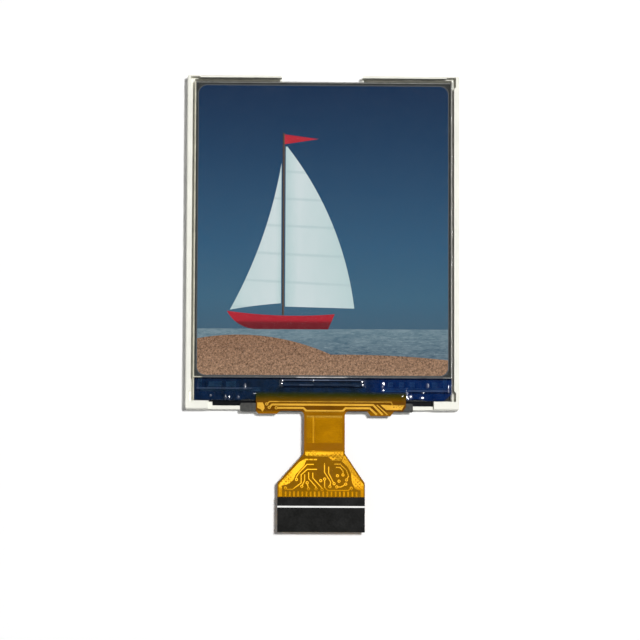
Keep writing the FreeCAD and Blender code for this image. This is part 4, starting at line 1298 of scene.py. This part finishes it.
@dataclass
class FlexibleCircuit(SubAssembly):
    """The amber circuit: base film, copper, cover film, and the stiffened contact tail."""

    film_edge: float = 0.012
    board_edge: float = 0.02
    low: float = -31.0
    high: float = -18.2
    base_stops: Stops = ((0.0, (158, 112, 2)), (0.06, (156, 108, 2)), (0.14, (146, 96, 2)),
                         (0.40, (150, 100, 0)), (0.46, (170, 108, 0)), (0.805, (166, 108, 0)),
                         (0.825, (108, 60, 0)), (0.905, (108, 64, 0)), (0.925, (100, 70, 0)),
                         (0.965, (56, 60, 2)), (1.0, (40, 54, 12)))
    cover_stops: Stops = ((0.0, (196, 140, 2)), (1.0, (184, 124, 2)))

    def build(self) -> None:
        """Make the films and the stiffener with eased edges, and dress the copper and the contacts."""
        for node, name, width, finish, slot in (
                ("circuit_base_film", "circuit_base", self.film_edge,
                 Banded("amber_base", self.base_stops, self.low, self.high), "amber_film"),
                ("circuit_cover_film", "circuit_cover", self.film_edge,
                 Banded("amber_cover", self.cover_stops, self.low, self.high, cover=0.08), "amber_cover"),
                ("tail_stiffener", "stiffener_board", self.board_edge,
                 Solid("black_board", (9, 9, 8), (25, 25, 24), 3200.0, 5200.0, 0.38, 0.56, 0.010, 0.04),
                 "black_board"),
                ("support_tape", "dark_tape", self.board_edge,
                 Solid("dark_tape", (58, 58, 56), (80, 80, 77), 2400.0, 5000.0, 0.45, 0.60, 0.008, 0.1),
                 "dark_tape")):
            self.settle(softened(node, name, width), finish, slot, node)
        self.dress_nodes({
            "circuit_copper": CopperPattern(),
            "stiffener_mark": Solid("white_ink", (240, 240, 236), (252, 251, 249), 1400.0, 6000.0),
            "tail_contacts": plating("gold_contact", (206, 164, 74), (232, 196, 108), 0.18, 0.32),
        })


@dataclass(frozen=True)
class Lamp:
    """A rectangular soft lamp that faces the module: place and size in metres, power in watts."""

    name: str
    place: Place
    size: tuple[float, float]
    power: float

    def hang(self) -> None:
        """Add the lamp to the scene."""
        data = bpy.data.lights.new(self.name, "AREA")
        data.shape = "RECTANGLE"
        data.size, data.size_y = self.size
        data.energy = self.power
        lamp = bpy.data.objects.new(self.name, data)
        lamp.location = self.place
        lamp.rotation_euler = (-Vector(self.place)).to_track_quat("-Z", "Y").to_euler()
        bpy.context.scene.collection.objects.link(lamp)


@dataclass
class Studio:
    """The pale floor, the white surroundings, the lamps and the camera."""

    floor_size: float = 8.0
    floor_white: tuple[float, float, float, float] = (0.97, 0.97, 0.97, 1.0)
    floor_lift: float = 0.07
    eye: Place = (-0.00846, -0.056, 0.42737)
    turn: Place = (6.225, -1.117, 0.217)
    lens: float = 200.0
    sensor: float = 36.0
    world_light: float = 0.08
    lamps: tuple[Lamp, ...] = (
        Lamp("key_lamp", (0.39, 0.18, 1.50), (0.21, 0.21), 22.0),
        Lamp("strip_lamp", (0.011, -0.35, 0.45), (0.014, 0.06), 0.05),
        Lamp("fill_lamp", (-0.34, -0.10, 0.34), (0.30, 0.30), 0.06),
    )

    def make_floor(self) -> None:
        """Lay the floor: pale, with the object's shadow kept on it."""
        pick(None)
        bpy.ops.mesh.primitive_plane_add(size=self.floor_size, location=(0.0, 0.0, 0.0))
        floor = bpy.context.object
        floor.name = "floor"
        recipe = Recipe("floor")
        recipe.keep(Base_Color=self.floor_white, Roughness=1.0, Specular_IOR_Level=0.0, Emission_Color=WHITE)
        seen = recipe.add("LightPath").outputs["Is Camera Ray"]
        recipe.feed(recipe.join("MULTIPLY", seen, self.floor_lift), "Emission Strength")
        dress(floor, recipe.material)

    def make_world(self) -> None:
        """Surround the scene with white that the camera and reflections see at full strength."""
        world = bpy.data.worlds.new("studio")
        world.use_nodes = True
        bpy.context.scene.world = world
        nodes = Nodes(world.node_tree)
        soft = nodes.tree.nodes["Background"]
        soft.inputs["Color"].default_value = WHITE
        soft.inputs["Strength"].default_value = self.world_light
        seen = nodes.add("Background")
        seen.inputs["Color"].default_value = WHITE
        rays = nodes.add("LightPath").outputs
        either = nodes.join("MAXIMUM", rays["Is Camera Ray"], rays["Is Glossy Ray"])
        either = nodes.join("MAXIMUM", either, rays["Is Transmission Ray"])
        mix = nodes.add("MixShader")
        for value, socket in zip((either, soft.outputs[0], seen.outputs[0]), mix.inputs):
            nodes.put(value, socket)
        nodes.put(mix.outputs[0], nodes.tree.nodes["World Output"].inputs["Surface"])

    def make_camera(self) -> None:
        """Set the camera at the photograph's viewing angle."""
        data = bpy.data.cameras.new("camera")
        data.lens = self.lens
        data.sensor_width = self.sensor
        data.clip_start = 0.01
        camera = bpy.data.objects.new("camera", data)
        camera.location = self.eye
        camera.rotation_euler = tuple(math.radians(angle) for angle in self.turn)
        bpy.context.scene.collection.objects.link(camera)
        bpy.context.scene.camera = camera

    def build(self) -> None:
        """Make the whole studio."""
        self.make_floor()
        self.make_world()
        for lamp in self.lamps:
            lamp.hang()
        self.make_camera()
        bpy.context.scene.view_settings.view_transform = "Standard"


def main() -> None:
    """Build the module's sub-assemblies and the studio, and note the sizes."""
    logging.basicConfig(level=logging.INFO, format="%(name)s: %(message)s")
    effects = Effects()
    for assembly in (Backlight, GlassPanel, Picture, DriverLedge, FlexibleCircuit):
        assembly(effects).build()
        LOG.info("finished %s", assembly.__name__)
    Studio().build()


if __name__ == "__main__":
    main()
